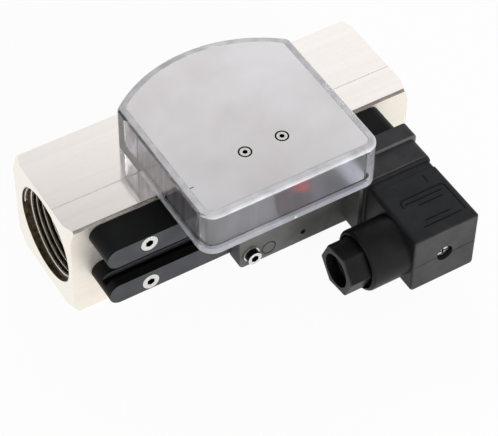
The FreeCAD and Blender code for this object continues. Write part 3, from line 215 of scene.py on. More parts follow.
class Look:
    """A procedural material round one Principled shader; lengths are in millimetres of the part."""

    def __init__(self, name, **sockets):
        self.material = bpy.data.materials.new(name)
        self.material.use_nodes = True
        self.tree = self.material.node_tree
        self.shader = self.tree.nodes["Principled BSDF"]
        self.normal = None
        for socket, value in sockets.items():
            self.shader.inputs[socket.replace("_", " ")].default_value = value
        spot = self.node("ShaderNodeTexCoord")
        scale = self.node("ShaderNodeVectorMath", operation="SCALE")
        scale.inputs["Scale"].default_value = 1 / MM
        self.link(spot.outputs["Object"], scale.inputs[0])
        self.place = scale.outputs[0]

    def node(self, kind, **settings):
        made = self.tree.nodes.new(kind)
        for key, value in settings.items():
            setattr(made, key, value)
        return made

    def link(self, source, target):
        self.tree.links.new(source, target)

    def noise(self, per_mm, detail=3.0, stretch=(1, 1, 1)):
        """Noise with that many waves in a millimetre along each axis times stretch."""
        shaped = self.node("ShaderNodeVectorMath", operation="MULTIPLY")
        shaped.inputs[1].default_value = [per_mm * factor for factor in stretch]
        self.link(self.place, shaped.inputs[0])
        texture = self.node("ShaderNodeTexNoise")
        texture.inputs["Scale"].default_value = 1.0
        texture.inputs["Detail"].default_value = detail
        self.link(shaped.outputs[0], texture.inputs["Vector"])
        return texture.outputs["Fac"]

    def join(self, operation, first, second):
        sums = self.node("ShaderNodeMath", operation=operation)
        for socket, value in zip(sums.inputs, (first, second)):
            if isinstance(value, float):
                socket.default_value = value
            else:
                self.link(value, socket)
        return sums.outputs[0]

    def blend(self, *parts):
        """Sum of (value, weight) parts."""
        total = None
        for value, weight in parts:
            part = self.join("MULTIPLY", value, weight)
            total = self.join("ADD", total, part) if total else part
        return total

    def colour(self, value, *stops):
        """Base colour from a value and (position, colour) stops."""
        ramp = self.node("ShaderNodeValToRGB")
        while len(ramp.color_ramp.elements) < len(stops):
            ramp.color_ramp.elements.new(0.5)
        for element, (position, tone) in zip(ramp.color_ramp.elements, stops):
            element.position = position
            element.color = (*tone, 1.0)
        self.link(value, ramp.inputs["Fac"])
        self.link(ramp.outputs["Color"], self.shader.inputs["Base Color"])

    def roughness(self, value, low, high):
        """Roughness from the middle range of a noise."""
        fit = self.node("ShaderNodeMapRange")
        fit.inputs["From Min"].default_value = NOISE_LOW
        fit.inputs["From Max"].default_value = NOISE_HIGH
        fit.inputs["To Min"].default_value = low
        fit.inputs["To Max"].default_value = high
        self.link(value, fit.inputs["Value"])
        self.link(fit.outputs["Result"], self.shader.inputs["Roughness"])

    def soften(self, radius):
        """Rounds the shading of sharp edges, as a trimmed or tumbled edge is."""
        bevel = self.node("ShaderNodeBevel", samples=BEVEL_SAMPLES)
        bevel.inputs["Radius"].default_value = radius * MM
        self.normal = bevel.outputs["Normal"]
        self.link(self.normal, self.shader.inputs["Normal"])

    def bump(self, value, height):
        """Surface relief of that height."""
        bump = self.node("ShaderNodeBump")
        bump.inputs["Strength"].default_value = 1.0
        bump.inputs["Distance"].default_value = height * MM
        self.link(value, bump.inputs["Height"])
        if self.normal:
            self.link(self.normal, bump.inputs["Normal"])
        self.normal = bump.outputs["Normal"]
        self.link(self.normal, self.shader.inputs["Normal"])


def linear(level):
    """A linear value from a 0..255 screen level."""
    if level > SCREEN_KNEE:
        return ((level / 255 + 0.055) / 1.055) ** 2.4
    return level / 255 / 12.92


def shade(*levels):
    """A linear colour from 0..255 screen levels."""
    return tuple(linear(level) for level in levels)


def nickel_look(name, *tones, metallic, rough, soften):
    """Drawn bar, nickel plated: faint streaks along the bar, fine lines from drawing and a fine mottle."""
    look = Look(name, Metallic=metallic)
    streaks = look.noise(0.22, 4.0, (0.03, 1, 1))
    lines = look.noise(2.4, 2.0, (0.012, 1, 1))
    mottle = look.noise(0.7, 5.0, (0.4, 1, 1))
    tone = look.blend((streaks, 0.45), (lines, 0.3), (mottle, 0.25))
    look.colour(tone, *zip((0.32, 0.5, 0.68), tones))
    look.roughness(lines, *rough)
    look.soften(soften)
    look.bump(lines, 0.0012)
    return look.material


def turned_look():
    """End faces of the bar, faced on a lathe: fine rings round the bore's axis."""
    look = Look("nickel_turned", Metallic=1.0)
    apart = look.node("ShaderNodeSeparateXYZ")
    look.link(look.place, apart.inputs[0])
    across = apart.outputs["Y"]
    up = look.join("SUBTRACT", apart.outputs["Z"], AXIS_Z)
    square = look.join("ADD", look.join("MULTIPLY", across, across), look.join("MULTIPLY", up, up))
    radius = look.join("SQRT", square, 0.0)
    rings = look.node("ShaderNodeTexNoise", noise_dimensions="1D")
    rings.inputs["Scale"].default_value = 3.0
    rings.inputs["Detail"].default_value = 2.0
    look.link(radius, rings.inputs["W"])
    ring = rings.outputs["Fac"]
    look.colour(ring, (0.3, shade(246, 240, 228)), (0.7, shade(252, 247, 238)))
    look.roughness(ring, 0.2, 0.34)
    look.soften(0.35)
    look.bump(ring, 0.0015)
    return look.material


def port_look():
    """Wall of the pipe thread: bare brass gone brown under thread paste."""
    look = Look("port_wall", Metallic=0.6)
    stain = look.noise(0.5, 4.0)
    look.colour(stain, (0.3, shade(58, 48, 34)), (0.7, shade(112, 98, 74)))
    look.roughness(stain, 0.35, 0.6)
    look.bump(look.noise(2.0), 0.004)
    return look.material


def hood_look(name, clear, rough, darkest=238):
    """Clear moulded plastic with a slight lavender cast, upright flow lines and a faint orange peel."""
    look = Look(name, Transmission_Weight=clear, IOR=1.2, Coat_Weight=0.8, Coat_Roughness=0.03)
    cloud = look.noise(0.16, 3.0, (1, 1, 0.12))
    look.colour(cloud, (0.3, shade(darkest, darkest, darkest + 5)), (0.7, shade(247, 247, 251)))
    look.roughness(cloud, *rough)
    look.bump(look.noise(0.35, 1.0), 0.004)
    return look.material


def lid_look():
    """Satin aluminium sheet: very fine grain, and a few warm clouds that are painted reflections."""
    look = Look("lid", Metallic=1.0)
    cloud = look.noise(0.035, 3.0)
    grain = look.noise(6.0, 2.0, (0.15, 1, 1))
    tone = look.blend((cloud, 0.75), (grain, 0.25))
    # The warmer low tone of the clouds is the painted reflection.
    look.colour(tone, (0.34, shade(222, 217, 218)), (0.5, shade(229, 226, 228)),
                (0.66, shade(235, 233, 236)))
    look.roughness(grain, 0.16, 0.26)
    look.soften(0.3)
    look.bump(grain, 0.001)
    return look.material


def plastic_look(name, dark, light, grain_height, rough, specular):
    """Black moulded plastic: clouded colour, fine spark-eroded grain and softened edges."""
    look = Look(name, Specular_IOR_Level=specular)
    cloud = look.noise(0.12, 4.0)
    grain = look.noise(3.0, 2.0)
    look.colour(look.blend((cloud, 0.6), (grain, 0.4)), (0.35, dark), (0.65, light))
    look.roughness(grain, *rough)
    look.soften(0.3)
    look.bump(grain, grain_height)
    return look.material


def metal_look(name, dark, light, rough, per_mm=1.5, stretch=(1, 1, 1)):
    """Clouded metal with softened edges."""
    look = Look(name, Metallic=1.0)
    cloud = look.noise(per_mm, 3.0, stretch)
    look.colour(cloud, (0.35, dark), (0.65, light))
    look.roughness(cloud, *rough)
    look.soften(0.15)
    look.bump(cloud, 0.002)
    return look.material


def plain_look(name, dark, light, rough, per_mm, **sockets):
    """Clouded plastic, enamel, ink, glass or rubber."""
    look = Look(name, **sockets)
    cloud = look.noise(per_mm, 3.0)
    look.colour(cloud, (0.35, dark), (0.65, light))
    look.roughness(cloud, *rough)
    look.bump(look.noise(per_mm * 4), 0.003)
    return look.material


NICKEL = nickel_look("nickel", shade(247, 240, 236), shade(251, 245, 241), shade(254, 249, 245),
                     metallic=1.0, rough=(0.07, 0.16), soften=0.12)
NICKEL_SIDE = nickel_look("nickel_side", shade(247, 239, 228), shade(251, 244, 233), shade(253, 248, 240),
                          metallic=0.9, rough=(0.45, 0.58), soften=0.35)
# Dark grey nickel for the top front edge: a painted reflection of the dark rails.
NICKEL_EDGE_PAINTED_REFLECTION = nickel_look("nickel_edge_painted_reflection", shade(96, 90, 86), shade(150, 142, 135), shade(214, 205, 197),
                          metallic=1.0, rough=(0.2, 0.3), soften=0.12)
# Slightly darker nickel for the narrow step at the top's front: painted shade.
NICKEL_STEP_PAINTED_SHADE = nickel_look("nickel_step_painted_shade", shade(234, 226, 219), shade(239, 232, 226), shade(244, 238, 232),
                          metallic=1.0, rough=(0.3, 0.4), soften=0.12)
TURNED = turned_look()
PORT = port_look()
CLEAR = hood_look("clear", clear=0.95, rough=(0.03, 0.06))
# Cloudy, lighter plastic for the rim and the front fillets: a painted highlight.
CLEAR_RIM_PAINTED_HIGHLIGHT = hood_look("clear_rim_painted_highlight", clear=0.35, rough=(0.08, 0.14), darkest=210)
# Cloudy plastic for the back and side fillets, greyer than clear: a painted reflection of a dark outline.
CLEAR_EDGE_PAINTED_REFLECTION = hood_look("clear_edge_painted_reflection", clear=0.3, rough=(0.12, 0.2))
CLEAR_FRONT = hood_look("clear_front", clear=0.92, rough=(0.3, 0.4), darkest=205)
# Dark upright streaks inside the side walls: painted shade of the hood's dark inside, with painted
# reflections in the streaks.
CLEAR_INSIDE_PAINTED_SHADE = hood_look("clear_inside_painted_shade", clear=0.96, rough=(0.25, 0.35), darkest=30)
# Nearly opaque white for the hood's underside, a bright line at its foot: a painted highlight.
CLEAR_FOOT_PAINTED_HIGHLIGHT = hood_look("clear_foot_painted_highlight", clear=0.1, rough=(0.4, 0.5))
LID = lid_look()
FLOOR_PLATE = metal_look("floor_plate", shade(154, 154, 160), shade(176, 176, 182),
                         rough=(0.15, 0.24), per_mm=0.3)
# Dark grey for the scale strip's inner face: painted shade.
STRIP_BACK_PAINTED_SHADE = metal_look("strip_back_painted_shade", shade(70, 70, 73), shade(90, 90, 94), rough=(0.4, 0.55), per_mm=0.3)
# Lighter grey for the rails' fronts: painted light.
RAIL_FRONT_PAINTED_LIGHT = plastic_look("rail_side_painted_light", shade(52, 53, 56), shade(66, 67, 70),
                         grain_height=0.006, rough=(0.5, 0.65), specular=0.25)
# Near black; on the rails' tops it is painted shade against the lighter fronts.
RAIL_TOP = plastic_look("rail_top", shade(12, 13, 13), shade(18, 19, 19),
                        grain_height=0.002, rough=(0.35, 0.5), specular=0.1)
# Lighter copy of the black plastic, on the plug's front and the nut's end: painted light.
PLUG = plastic_look("plug_black", shade(44, 44, 45), shade(62, 62, 62),
                    grain_height=0.006, rough=(0.42, 0.58), specular=0.2)
# Darker copy for the plug's top and left side: painted shade.
PLUG_TOP_PAINTED_SHADE = plastic_look("plug_top_painted_shade", shade(26, 27, 30), shade(38, 39, 41),
                        grain_height=0.005, rough=(0.4, 0.55), specular=0.18)
# Glossier black for the boss and the gland nut, painted darker: painted shade.
GLAND_PAINTED_SHADE = plastic_look("gland_black_painted_shade", shade(14, 14, 14), shade(24, 24, 24),
                     grain_height=0.004, rough=(0.38, 0.5), specular=0.16)
# Lighter grey for the carriage's front: painted light, raised to fill the shadow the plug casts on it.
SLAB = plastic_look("carriage_black", shade(76, 76, 75), shade(98, 98, 96),
                    grain_height=0.008, rough=(0.5, 0.65), specular=0.22)
# Darker grey for the carriage's top: painted shade.
SLAB_TOP_PAINTED_SHADE = plastic_look("carriage_top_painted_shade", shade(44, 44, 47), shade(62, 62, 66),
                        grain_height=0.006, rough=(0.5, 0.65), specular=0.2)
STEEL = metal_look("steel", shade(208, 206, 202), shade(240, 238, 234), rough=(0.12, 0.25))
# Dark metal for screw sockets and the lid's recesses: painted shade.
SOCKET = metal_look("socket", shade(16, 15, 14), shade(44, 42, 40), rough=(0.4, 0.6))
BRASS = metal_look("brass", shade(150, 124, 72), shade(196, 168, 108),
                   rough=(0.25, 0.4), per_mm=2.0, stretch=(0.05, 1, 1))
MAGNET = metal_look("magnet", shade(40, 40, 44), shade(62, 62, 66), rough=(0.5, 0.7), per_mm=2.0)
RED = plain_look("red", shade(158, 4, 3), shade(184, 8, 6), rough=(0.3, 0.42), per_mm=0.4)
SCALE = plain_look("scale", shade(226, 226, 222), shade(240, 240, 236), rough=(0.35, 0.5), per_mm=0.3)
INK = plain_look("ink", shade(14, 14, 16), shade(30, 30, 32), rough=(0.4, 0.6), per_mm=2.0)
GLASS = plain_look("glass", shade(214, 228, 220), shade(232, 240, 236),
                   rough=(0.02, 0.05), per_mm=0.4, Transmission_Weight=1.0)
TIN = metal_look("tin", shade(200, 197, 186), shade(222, 219, 208), rough=(0.25, 0.4), per_mm=2.0)
RUBBER = plain_look("rubber", shade(20, 20, 20), shade(34, 34, 34), rough=(0.7, 0.85), per_mm=1.0)

LOOKS = {"nickel": NICKEL, "clear": CLEAR, "lid": LID, "black": PLUG, "carriage": SLAB, "steel": STEEL,
         "brass": BRASS, "magnet": MAGNET, "red": RED, "scale": SCALE, "glass": GLASS, "tin": TIN,
         "rubber": RUBBER}


# Which faces take which look; places in millimetres, directions as cosines

PIVOT_Y = -39.0
HOOD_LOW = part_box("hood")[0] / MM
HOOD_WALL = 4.3
HOOD_SHOULDER = HOOD_LOW.z + 19
HOOD_MIDDLE_Y = -25.0
HOOD_FOOT_REACH = 0.1
PORT_EDGE_RADIUS = 21.3
PORT_EDGE_X = 79
STEP_Z = 49.9
STEP_REACH = 0.09
TOP_EDGE_Z = 48
PLUG_LEFT = 36.0
BOSS_REACH = 0.2
RAIL_SCREWS = [(x, z) for x in (-53.5, 47.0) for z in (20.5, 44.1)]
LID_SCREWS = [(-8.6, -39.0), (8.6, -39.0)]
CLAMP_SCREW = (-11.3, 21.5)
PLUG_SCREW = (51.5, 32.1)
CLAMP_COLLAR_FRONT = -49.9
RAIL_SOCKET_RADIUS = 2.3
LID_SOCKET_RADIUS = 1.7
LID_RECESS_RADIUS = 3.1
CLAMP_SOCKET_RADIUS = 2.0
PLUG_SLOT_RADIUS = 2.6
SOCKET_DEPTH = 0.06


def dress(name, *looks, choose=None):
    """Gives a node its materials; choose(centre, normal) says which one each face takes."""
    mesh = nodes[name].data
    mesh.materials.clear()
    for look in looks:
        mesh.materials.append(look)
    for face in mesh.polygons:
        face.material_index = looks.index(choose(face.center / MM, face.normal)) if choose else 0


def hood_face(centre, normal):
    """Rim on top and front fillets cloudy as a painted highlight, foot below opaque white as a painted
    highlight, back fillets cloudy as a painted reflection, polished outside and at the scale, streaked dark
    inside the other walls as painted shade.
    """
    slopes_up = normal.z > 0.2
    # The top rim and the front fillets take the painted highlight.
    if normal.z > 0.93 or slopes_up and normal.y < -0.3:
        return CLEAR_RIM_PAINTED_HIGHLIGHT
    # The back and side fillets take the painted reflection.
    if slopes_up and centre.z > HOOD_SHOULDER and (normal.y > 0.1 or normal.x > 0.1):
        return CLEAR_EDGE_PAINTED_REFLECTION
    # The underside takes the painted highlight.
    if normal.z < -0.9 and centre.z < HOOD_LOW.z + HOOD_FOOT_REACH:
        return CLEAR_FOOT_PAINTED_HIGHLIGHT
    outwards = Vector((centre.x, centre.y - HOOD_MIDDLE_Y, 0.0)).dot(normal) > 0
    # Outward faces turned down also take the painted reflection.
    if outwards and normal.z < -0.2:
        return CLEAR_EDGE_PAINTED_REFLECTION
    if outwards or normal.y < -0.3:
        return CLEAR
    # Inside the side walls the dark streaks are painted shade.
    return CLEAR_FRONT if normal.y > 0.5 else CLEAR_INSIDE_PAINTED_SHADE


def body_face(centre, normal):
    """Bores, turned ends and the bar's polished top; the dull step at its front is painted shade, and the
    dull edge a painted reflection of the dark rails.
    """
    from_axis = math.hypot(centre.y, centre.z - AXIS_Z)
    if from_axis < PORT_EDGE_RADIUS and (abs(normal.x) < 0.2 or abs(centre.x) < PORT_EDGE_X):
        return PORT
    if abs(normal.x) > 0.3:
        return TURNED
    # The narrow step takes the painted shade.
    if abs(centre.z - STEP_Z) < STEP_REACH and normal.y < -0.9:
        return NICKEL_STEP_PAINTED_SHADE
    # The top front edge takes the painted reflection of the rails.
    if centre.z > TOP_EDGE_Z and normal.y < -0.5:
        return NICKEL_EDGE_PAINTED_REFLECTION
    return NICKEL if normal.z > 0.9 else NICKEL_SIDE


def strip_face(centre, normal):
    """The outside of the scale strip is enamelled; its inner face is dark grey, painted shade for the
    hood's shaded inside.
    """
    outwards = Vector((centre.x, centre.y - PIVOT_Y, 0.0)).dot(normal) > 0
    return SCALE if outwards else STRIP_BACK_PAINTED_SHADE


def rail_face(centre, normal):
    """The front of a rail is painted lighter than its top: painted light on the front, painted shade on the
    top.
    """
    return RAIL_FRONT_PAINTED_LIGHT if normal.y < -0.7 else RAIL_TOP


def slab_face(centre, normal):
    """The carriage is darker on top: painted shade on the top, painted light on the front."""
    return SLAB_TOP_PAINTED_SHADE if normal.z > 0.7 else SLAB


def plug_face(centre, normal):
    """The boss is glossier than the housing and painted darker as painted shade; the top and left side are
    painted darker than the front as painted shade, and the top is finer than the front.
    """
    if centre.x < PLUG_LEFT - BOSS_REACH:
        return GLAND_PAINTED_SHADE
    return PLUG_TOP_PAINTED_SHADE if normal.z > 0.15 or normal.x < -0.7 else PLUG


def nut_face(centre, normal):
    """The gland nut is greyer on its end: painted light on the end, painted shade on the rest."""
    return PLUG if normal.x < -0.7 else GLAND_PAINTED_SHADE


def socket_face(plain, axis, front, reach, *spots):
    """Darkens the faces that lie behind the front and within reach of a screw's axis, as painted shade in a
    socket or recess.
    """
    across = [index for index in range(3) if index != axis]

    def choose(centre, normal):
        here = Vector([centre[index] for index in across])
        nearest = min((here - Vector(spot)).length for spot in spots)
        inside = nearest < reach and abs(centre[axis] - front / MM) > SOCKET_DEPTH
        return SOCKET if inside else plain
    return choose


def clamp_face(centre, normal):
    """The clamp screw's head is knurled and dark round its side."""
    beside = abs(normal.y) < 0.5 and centre.y < CLAMP_COLLAR_FRONT
    return SOCKET if beside else clamp_socket(centre, normal)


rail_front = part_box("rail_screws")[0].y
lid_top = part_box("cover_screws")[1].z
clamp_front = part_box("clamp_screw")[0].y
plug_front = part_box("plug_screw")[0].y
rail_socket = socket_face(STEEL, 1, rail_front, RAIL_SOCKET_RADIUS, *RAIL_SCREWS)
lid_socket = socket_face(STEEL, 2, lid_top, LID_SOCKET_RADIUS, *LID_SCREWS)
# The lid's recess round each screw is painted dark: painted shade.
lid_recess = socket_face(LID, 2, lid_top, LID_RECESS_RADIUS, *LID_SCREWS)
clamp_socket = socket_face(STEEL, 1, clamp_front, CLAMP_SOCKET_RADIUS, CLAMP_SCREW)
plug_slot = socket_face(STEEL, 1, plug_front, PLUG_SLOT_RADIUS, PLUG_SCREW)

for name in nodes:
    dress(name, LOOKS[slot_of[name]])
for name in ("upper_rail", "lower_rail"):
    dress(name, RAIL_FRONT_PAINTED_LIGHT, RAIL_TOP, choose=rail_face)
dress("body", NICKEL, TURNED, PORT, NICKEL_SIDE, NICKEL_STEP_PAINTED_SHADE, NICKEL_EDGE_PAINTED_REFLECTION, choose=body_face)
dress("switch_body", SLAB, SLAB_TOP_PAINTED_SHADE, choose=slab_face)
dress("hood", CLEAR, CLEAR_RIM_PAINTED_HIGHLIGHT, CLEAR_INSIDE_PAINTED_SHADE, CLEAR_FOOT_PAINTED_HIGHLIGHT, CLEAR_EDGE_PAINTED_REFLECTION, CLEAR_FRONT, choose=hood_face)
dress("base_plate", FLOOR_PLATE)
dress("scale_strip", SCALE, STRIP_BACK_PAINTED_SHADE, choose=strip_face)
dress("plug_housing", PLUG, PLUG_TOP_PAINTED_SHADE, GLAND_PAINTED_SHADE, choose=plug_face)
dress("gland_nut", GLAND_PAINTED_SHADE, PLUG, choose=nut_face)
dress("rail_screws", STEEL, SOCKET, choose=rail_socket)
dress("cover_screws", STEEL, SOCKET, choose=lid_socket)
dress("cover_plate", LID, SOCKET, choose=lid_recess)
dress("clamp_screw", STEEL, SOCKET, choose=clamp_face)
dress("plug_screw", STEEL, SOCKET, choose=plug_slot)


# Pieces

PITCH = 2.309
MAJOR_RADIUS = 20.955
CREST_RADIUS = 19.475
THREAD_START = 2.4
THREAD_END = 21.0
THREAD_SINK = 0.08
THREAD_STUB = 0.1
THREAD_RUN_OUT = 0.5
FOOT_SHARE = 0.47
WORN_SHARE = 0.27
CREST_SHARE = 0.17
STEPS_PER_TURN = 96
SINK = 0.05
RIB_FOOT_SHARE = 0.5
RIB_TOP_SHARE = 0.32
MITRE_LIMIT = 0.5
PLUG_LOW, PLUG_HIGH = (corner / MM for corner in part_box("plug_housing"))
SLAB_FRONT = -48.75
INK_HALF = 0.015
SCALE_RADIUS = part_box("scale_strip")[1].y / MM - PIVOT_Y + INK_HALF / 2
SCALE_STEP = 5.0
SCALE_START = 25.0
TICK_FOOT = 52.6
LONG_TICK = {"top": 55.6, "half": 0.2}
SHORT_TICK = {"top": 54.6, "half": 0.14}
NUMBER_FOOT = 56.5
NUMBER_SIZE = 3.2


def new_piece(name, mesh, body, slot, *looks):
    piece = bpy.data.objects.new(name, mesh)
    scene.collection.objects.link(piece)
    for look in looks:
        mesh.materials.append(look)
    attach(piece, body)
    return piece


def sound_mesh(name, verts, faces):
    """A mesh with all faces pointing outwards."""
    mesh = bpy.data.meshes.new(name)
    mesh.from_pydata(verts, [], faces)
    work = bmesh.new()
    work.from_mesh(mesh)
    bmesh.ops.recalc_face_normals(work, faces=work.faces)
    work.to_mesh(mesh)
    work.free()
    return mesh


def smooth(mesh, sharp_from):
    """Smooth shading, with edges sharp from that angle in degrees."""
    for face in mesh.polygons:
        face.use_smooth = True
    mesh.set_sharp_from_angle(angle=math.radians(sharp_from))


def make_spring():
    """The float's spring: a copy of the part's own spring, which is hidden."""
    mesh = nodes["return_spring"].data.copy()
    mesh.materials.clear()
    spring = new_piece("coil_spring", mesh, "meter", "steel", STEEL)
    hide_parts("return_spring")
    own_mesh(spring)


def make_thread(name, end):
    """The ridge of a pipe thread, running in from one end of the body; its crest is worn bright."""
    low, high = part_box("body")
    turns = (THREAD_END - THREAD_START) / PITCH
    count = int(turns * STEPS_PER_TURN)
    start = low.x / MM + THREAD_START if end < 0 else high.x / MM - THREAD_END
    root = MAJOR_RADIUS + THREAD_SINK
    verts, faces, looks = [], [], []
    for step in range(count + 1):
        turn = step / STEPS_PER_TURN
        angle = 2 * math.pi * turn
        from_ends = (THREAD_STUB + turn, THREAD_STUB + turns - turn)
        rise = min(1.0, *(way / THREAD_RUN_OUT for way in from_ends))
        crest = MAJOR_RADIUS - (MAJOR_RADIUS - CREST_RADIUS) * rise
        worn = (root + 2 * crest) / 3
        along = start + PITCH * turn
        profile = ((root, FOOT_SHARE), (worn, WORN_SHARE), (crest, CREST_SHARE),
                   (crest, -CREST_SHARE), (root, -FOOT_SHARE))
        for radius, share in profile:
            verts.append(Vector((along + end * share * PITCH, radius * math.cos(angle),
                                 AXIS_Z + radius * math.sin(angle))) * MM)
    size = len(profile)
    for step in range(count):
        for side in range(size):
            here, there = step * size + side, step * size + (side + 1) % size
            faces.append((here, there, there + size, here + size))
            looks.append(1 if side in (1, 2) else 0)
    faces.append(tuple(reversed(range(size))))
    faces.append(tuple(count * size + side for side in range(size)))
    looks += [0, 0]
    mesh = sound_mesh(name, verts, faces)
    for face, look in zip(mesh.polygons, looks):
        face.material_index = look
    smooth(mesh, sharp_from=30)
    new_piece(name, mesh, "meter", "nickel", PORT, TURNED)


def rib_mesh(name, paths, width, height, place):
    """Low ribs along flat paths, each (points, closed); place takes (u, v, w) to the part's frame."""
    profile = ((-RIB_FOOT_SHARE, -SINK), (-RIB_TOP_SHARE, height),
               (RIB_TOP_SHARE, height), (RIB_FOOT_SHARE, -SINK))
    size = len(profile)
    verts, faces = [], []
    for points, closed in paths:
        points = [Vector(point) for point in points]
        first, count = len(verts), len(points)
        for index, point in enumerate(points):
            before = points[index - 1] if index or closed else point
            after = points[(index + 1) % count] if index < count - 1 or closed else point
            into = (point - before).normalized() if point != before else (after - point).normalized()
            out = (after - point).normalized() if after != point else into
            along = (into + out).normalized()
            side = Vector((-along.y, along.x)) / max(MITRE_LIMIT, along.dot(into))
            for share, rise in profile:
                spot = point + side * share * width
                verts.append(place @ Vector((spot.x, spot.y, rise)) * MM)
        for index in range(count if closed else count - 1):
            here, there = first + index * size, first + (index + 1) % count * size
            for corner in range(size):
                nearby = (corner + 1) % size
                faces.append((here + corner, here + nearby, there + nearby, there + corner))
        if not closed:
            last = first + (count - 1) * size
            faces.append(tuple(first + corner for corner in reversed(range(size))))
            faces.append(tuple(last + corner for corner in range(size)))
    return sound_mesh(name, verts, faces)


def lathe_mesh(name, profile, steps, place):
    """A closed turned mesh: profile points are (radius, height), ending on the axis."""
    verts, faces = [], []
    rings = len(profile) - 1
    for step in range(steps):
        turn = 2 * math.pi * step / steps
        for radius, rise in profile[:-1]:
            verts.append(place @ Vector((radius * math.cos(turn), radius * math.sin(turn), rise)) * MM)
    tip = len(verts)
    verts.append(place @ Vector((0, 0, profile[-1][1])) * MM)
    for step in range(steps):
        here, there = step * rings, (step + 1) % steps * rings
        for ring in range(rings - 1):
            faces.append((here + ring, there + ring, there + ring + 1, here + ring + 1))
        faces.append((here + rings - 1, there + rings - 1, tip))
    faces.append(tuple(step * rings for step in range(steps)))
    mesh = sound_mesh(name, verts, faces)
    smooth(mesh, sharp_from=50)
    return mesh


def arc(centre, radius, start, stop, steps):
    """Points on an arc, angles in degrees."""
    turns = [math.radians(start + (stop - start) * step / steps) for step in range(steps + 1)]
    return [(centre[0] + radius * math.cos(turn), centre[1] + radius * math.sin(turn)) for turn in turns]


def facing_up(height):
    return Matrix.Translation((0, 0, height))


def facing_front(depth):
    """u to the right, v up, on a plane that faces the rails' side."""
    return Matrix(((1, 0, 0, 0), (0, 0, -1, depth), (0, 1, 0, 0), (0, 0, 0, 1)))


def facing_right(place):
    """u to the back, v up, on a plane that faces the outlet's side."""
    return Matrix(((0, 0, 1, place), (1, 0, 0, 0), (0, 1, 0, 0), (0, 0, 0, 1)))


def make_plug_marks():
    """The plug's moulded frame with plain lines, a tick behind it and the parting line across the front."""
    left, right, back, front = 42.4, 64.0, -75.0, -91.6
    side_length, turn = 4.0, 2.0
    border = [(left, back - side_length)]
    border += arc((left + turn, back - turn), turn, start=180, stop=90, steps=6)
    border += arc((right - turn, back - turn), turn, start=90, stop=0, steps=6)
    border += [(right, front)]
    lines = [((43.6, -77.6), (61.4, -77.6)), ((48.4, -80.4), (60.2, -80.4)),
             ((46.0, -88.4), (58.4, -88.4)), ((43.6, -91.2), (62.0, -91.2))]
    tick = ((59.2, -67.6), (59.2, -71.6))
    paths = [(path, False) for path in (border, *lines, tick)]
    marks = rib_mesh("plug_marks", paths, width=0.75, height=0.16, place=facing_up(PLUG_HIGH.z))
    new_piece("plug_marks", marks, "plug", "black", RAIL_TOP)
    seam_height, recess, corner = 31.2, 4.0, 0.9
    spans = ((PLUG_LEFT + corner, PLUG_SCREW[0] - recess), (PLUG_SCREW[0] + recess, PLUG_HIGH.x - corner))
    seams = [(((start, seam_height), (stop, seam_height)), False) for start, stop in spans]
    seam = rib_mesh("plug_seam", seams, width=0.35, height=0.08, place=facing_front(PLUG_LOW.y))
    # The seam takes the darker painted-shade copy of the plastic.
    new_piece("plug_seam", seam, "plug", "black", PLUG_TOP_PAINTED_SHADE)


def make_slab_mark():
    """Ring left by an ejector pin on the carriage's front."""
    circle = arc((-2.4, 19.6), radius=3.2, start=0, stop=354, steps=59)
    ring = rib_mesh("slab_ring", [(circle, True)], width=0.55, height=0.09, place=facing_front(SLAB_FRONT))
    new_piece("slab_ring", ring, "carriage", "carriage", RAIL_TOP)


def make_lid_tick():
    """A dark strip at the lid's left edge."""
    low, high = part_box("cover_plate")
    inset, length = 0.1, 1.8
    left = low.x / MM + inset
    score = ((left, -45.0), (left + length, -44.9))
    tick = rib_mesh("lid_tick", [(score, False)], width=0.5, height=0.03, place=facing_up(high.z / MM))
    new_piece("lid_tick", tick, "meter", "lid", SOCKET)


def make_hood_details():
    """A rib inside the hood's left wall, dark grey as painted shade for a dark line in the wall, and the
    gate's pip at the foot of the front wall, white as a painted highlight.
    """
    upright = ((-5.6, 52.3), (-5.6, 68.2))
    inside = facing_right(HOOD_LOW.x + HOOD_WALL)
    rib = rib_mesh("hood_rib", [(upright, False)], width=0.6, height=0.3, place=inside)
    # The rib is dark grey: painted shade for the dark line in the wall.
    new_piece("hood_rib", rib, "meter", "clear", MAGNET)
    profile = ((0.62, -SINK), (0.58, 0.12), (0.4, 0.24), (0.2, 0.26), (0.0, 0.2))
    gate = Matrix.Translation((0.5, 50.9, 0))
    pip = lathe_mesh("hood_gate", profile, steps=24, place=facing_front(HOOD_LOW.y) @ gate)
    # The pip is white: a painted highlight.
    new_piece("hood_gate", pip, "meter", "clear", SCALE)


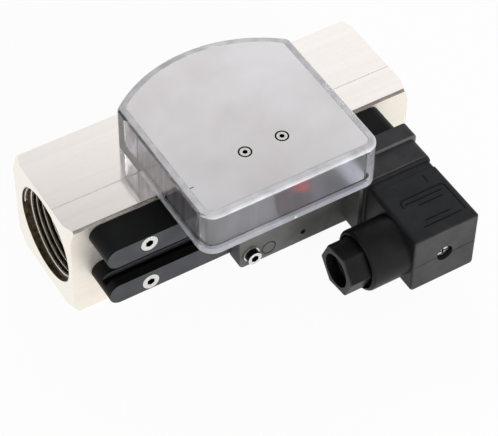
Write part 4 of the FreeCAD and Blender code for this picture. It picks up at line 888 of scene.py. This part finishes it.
def on_strip(along, up, out):
    """A point on the scale strip's outer face, along it to the reader's right, up and outwards."""
    turn = along / SCALE_RADIUS
    radius = SCALE_RADIUS + out
    return Vector((-radius * math.sin(turn), PIVOT_Y + radius * math.cos(turn), up)) * MM


def add_tick(work, middle, top, half):
    """A thin block on the strip."""
    outline = ((-half, TICK_FOOT), (half, TICK_FOOT), (half, top), (-half, top))
    corners = [work.verts.new(on_strip(middle + across, up, out))
               for out in (-INK_HALF, INK_HALF) for across, up in outline]
    for face in ((0, 1, 2, 3), (7, 6, 5, 4), (0, 4, 5, 1), (1, 5, 6, 2), (2, 6, 7, 3), (3, 7, 4, 0)):
        work.faces.new([corners[index] for index in face])


def add_number(work, middle, digits):
    """Bends the outline of a number on to the strip."""
    curve = bpy.data.curves.new("number", "FONT")
    curve.body = digits
    curve.size = NUMBER_SIZE
    curve.extrude = INK_HALF
    curve.align_x = "CENTER"
    writer = bpy.data.objects.new("number", curve)
    scene.collection.objects.link(writer)
    bpy.context.view_layer.update()
    flat = bpy.data.meshes.new_from_object(writer)
    bpy.data.objects.remove(writer)
    bpy.data.curves.remove(curve)
    spots = [work.verts.new(on_strip(middle + vert.co.x, NUMBER_FOOT + vert.co.y, vert.co.z))
             for vert in flat.vertices]
    for face in flat.polygons:
        work.faces.new([spots[index] for index in face.vertices])
    bpy.data.meshes.remove(flat)


def make_scale_marks():
    """Ticks and plain numbers, 0 to 10, on the scale strip."""
    work = bmesh.new()
    for value in range(11):
        middle = math.radians(SCALE_START - SCALE_STEP * value) * SCALE_RADIUS
        numbered = value % 2 == 0
        add_tick(work, middle, **(LONG_TICK if numbered else SHORT_TICK))
        if numbered:
            add_number(work, middle, str(value))
    bmesh.ops.recalc_face_normals(work, faces=work.faces)
    mesh = bpy.data.meshes.new("scale_marks")
    work.to_mesh(mesh)
    work.free()
    new_piece("scale_marks", mesh, "meter", "scale", INK)


make_spring()
make_thread("inlet_thread", -1)
make_thread("outlet_thread", 1)
make_plug_marks()
make_slab_mark()
make_lid_tick()
make_hood_details()
make_scale_marks()
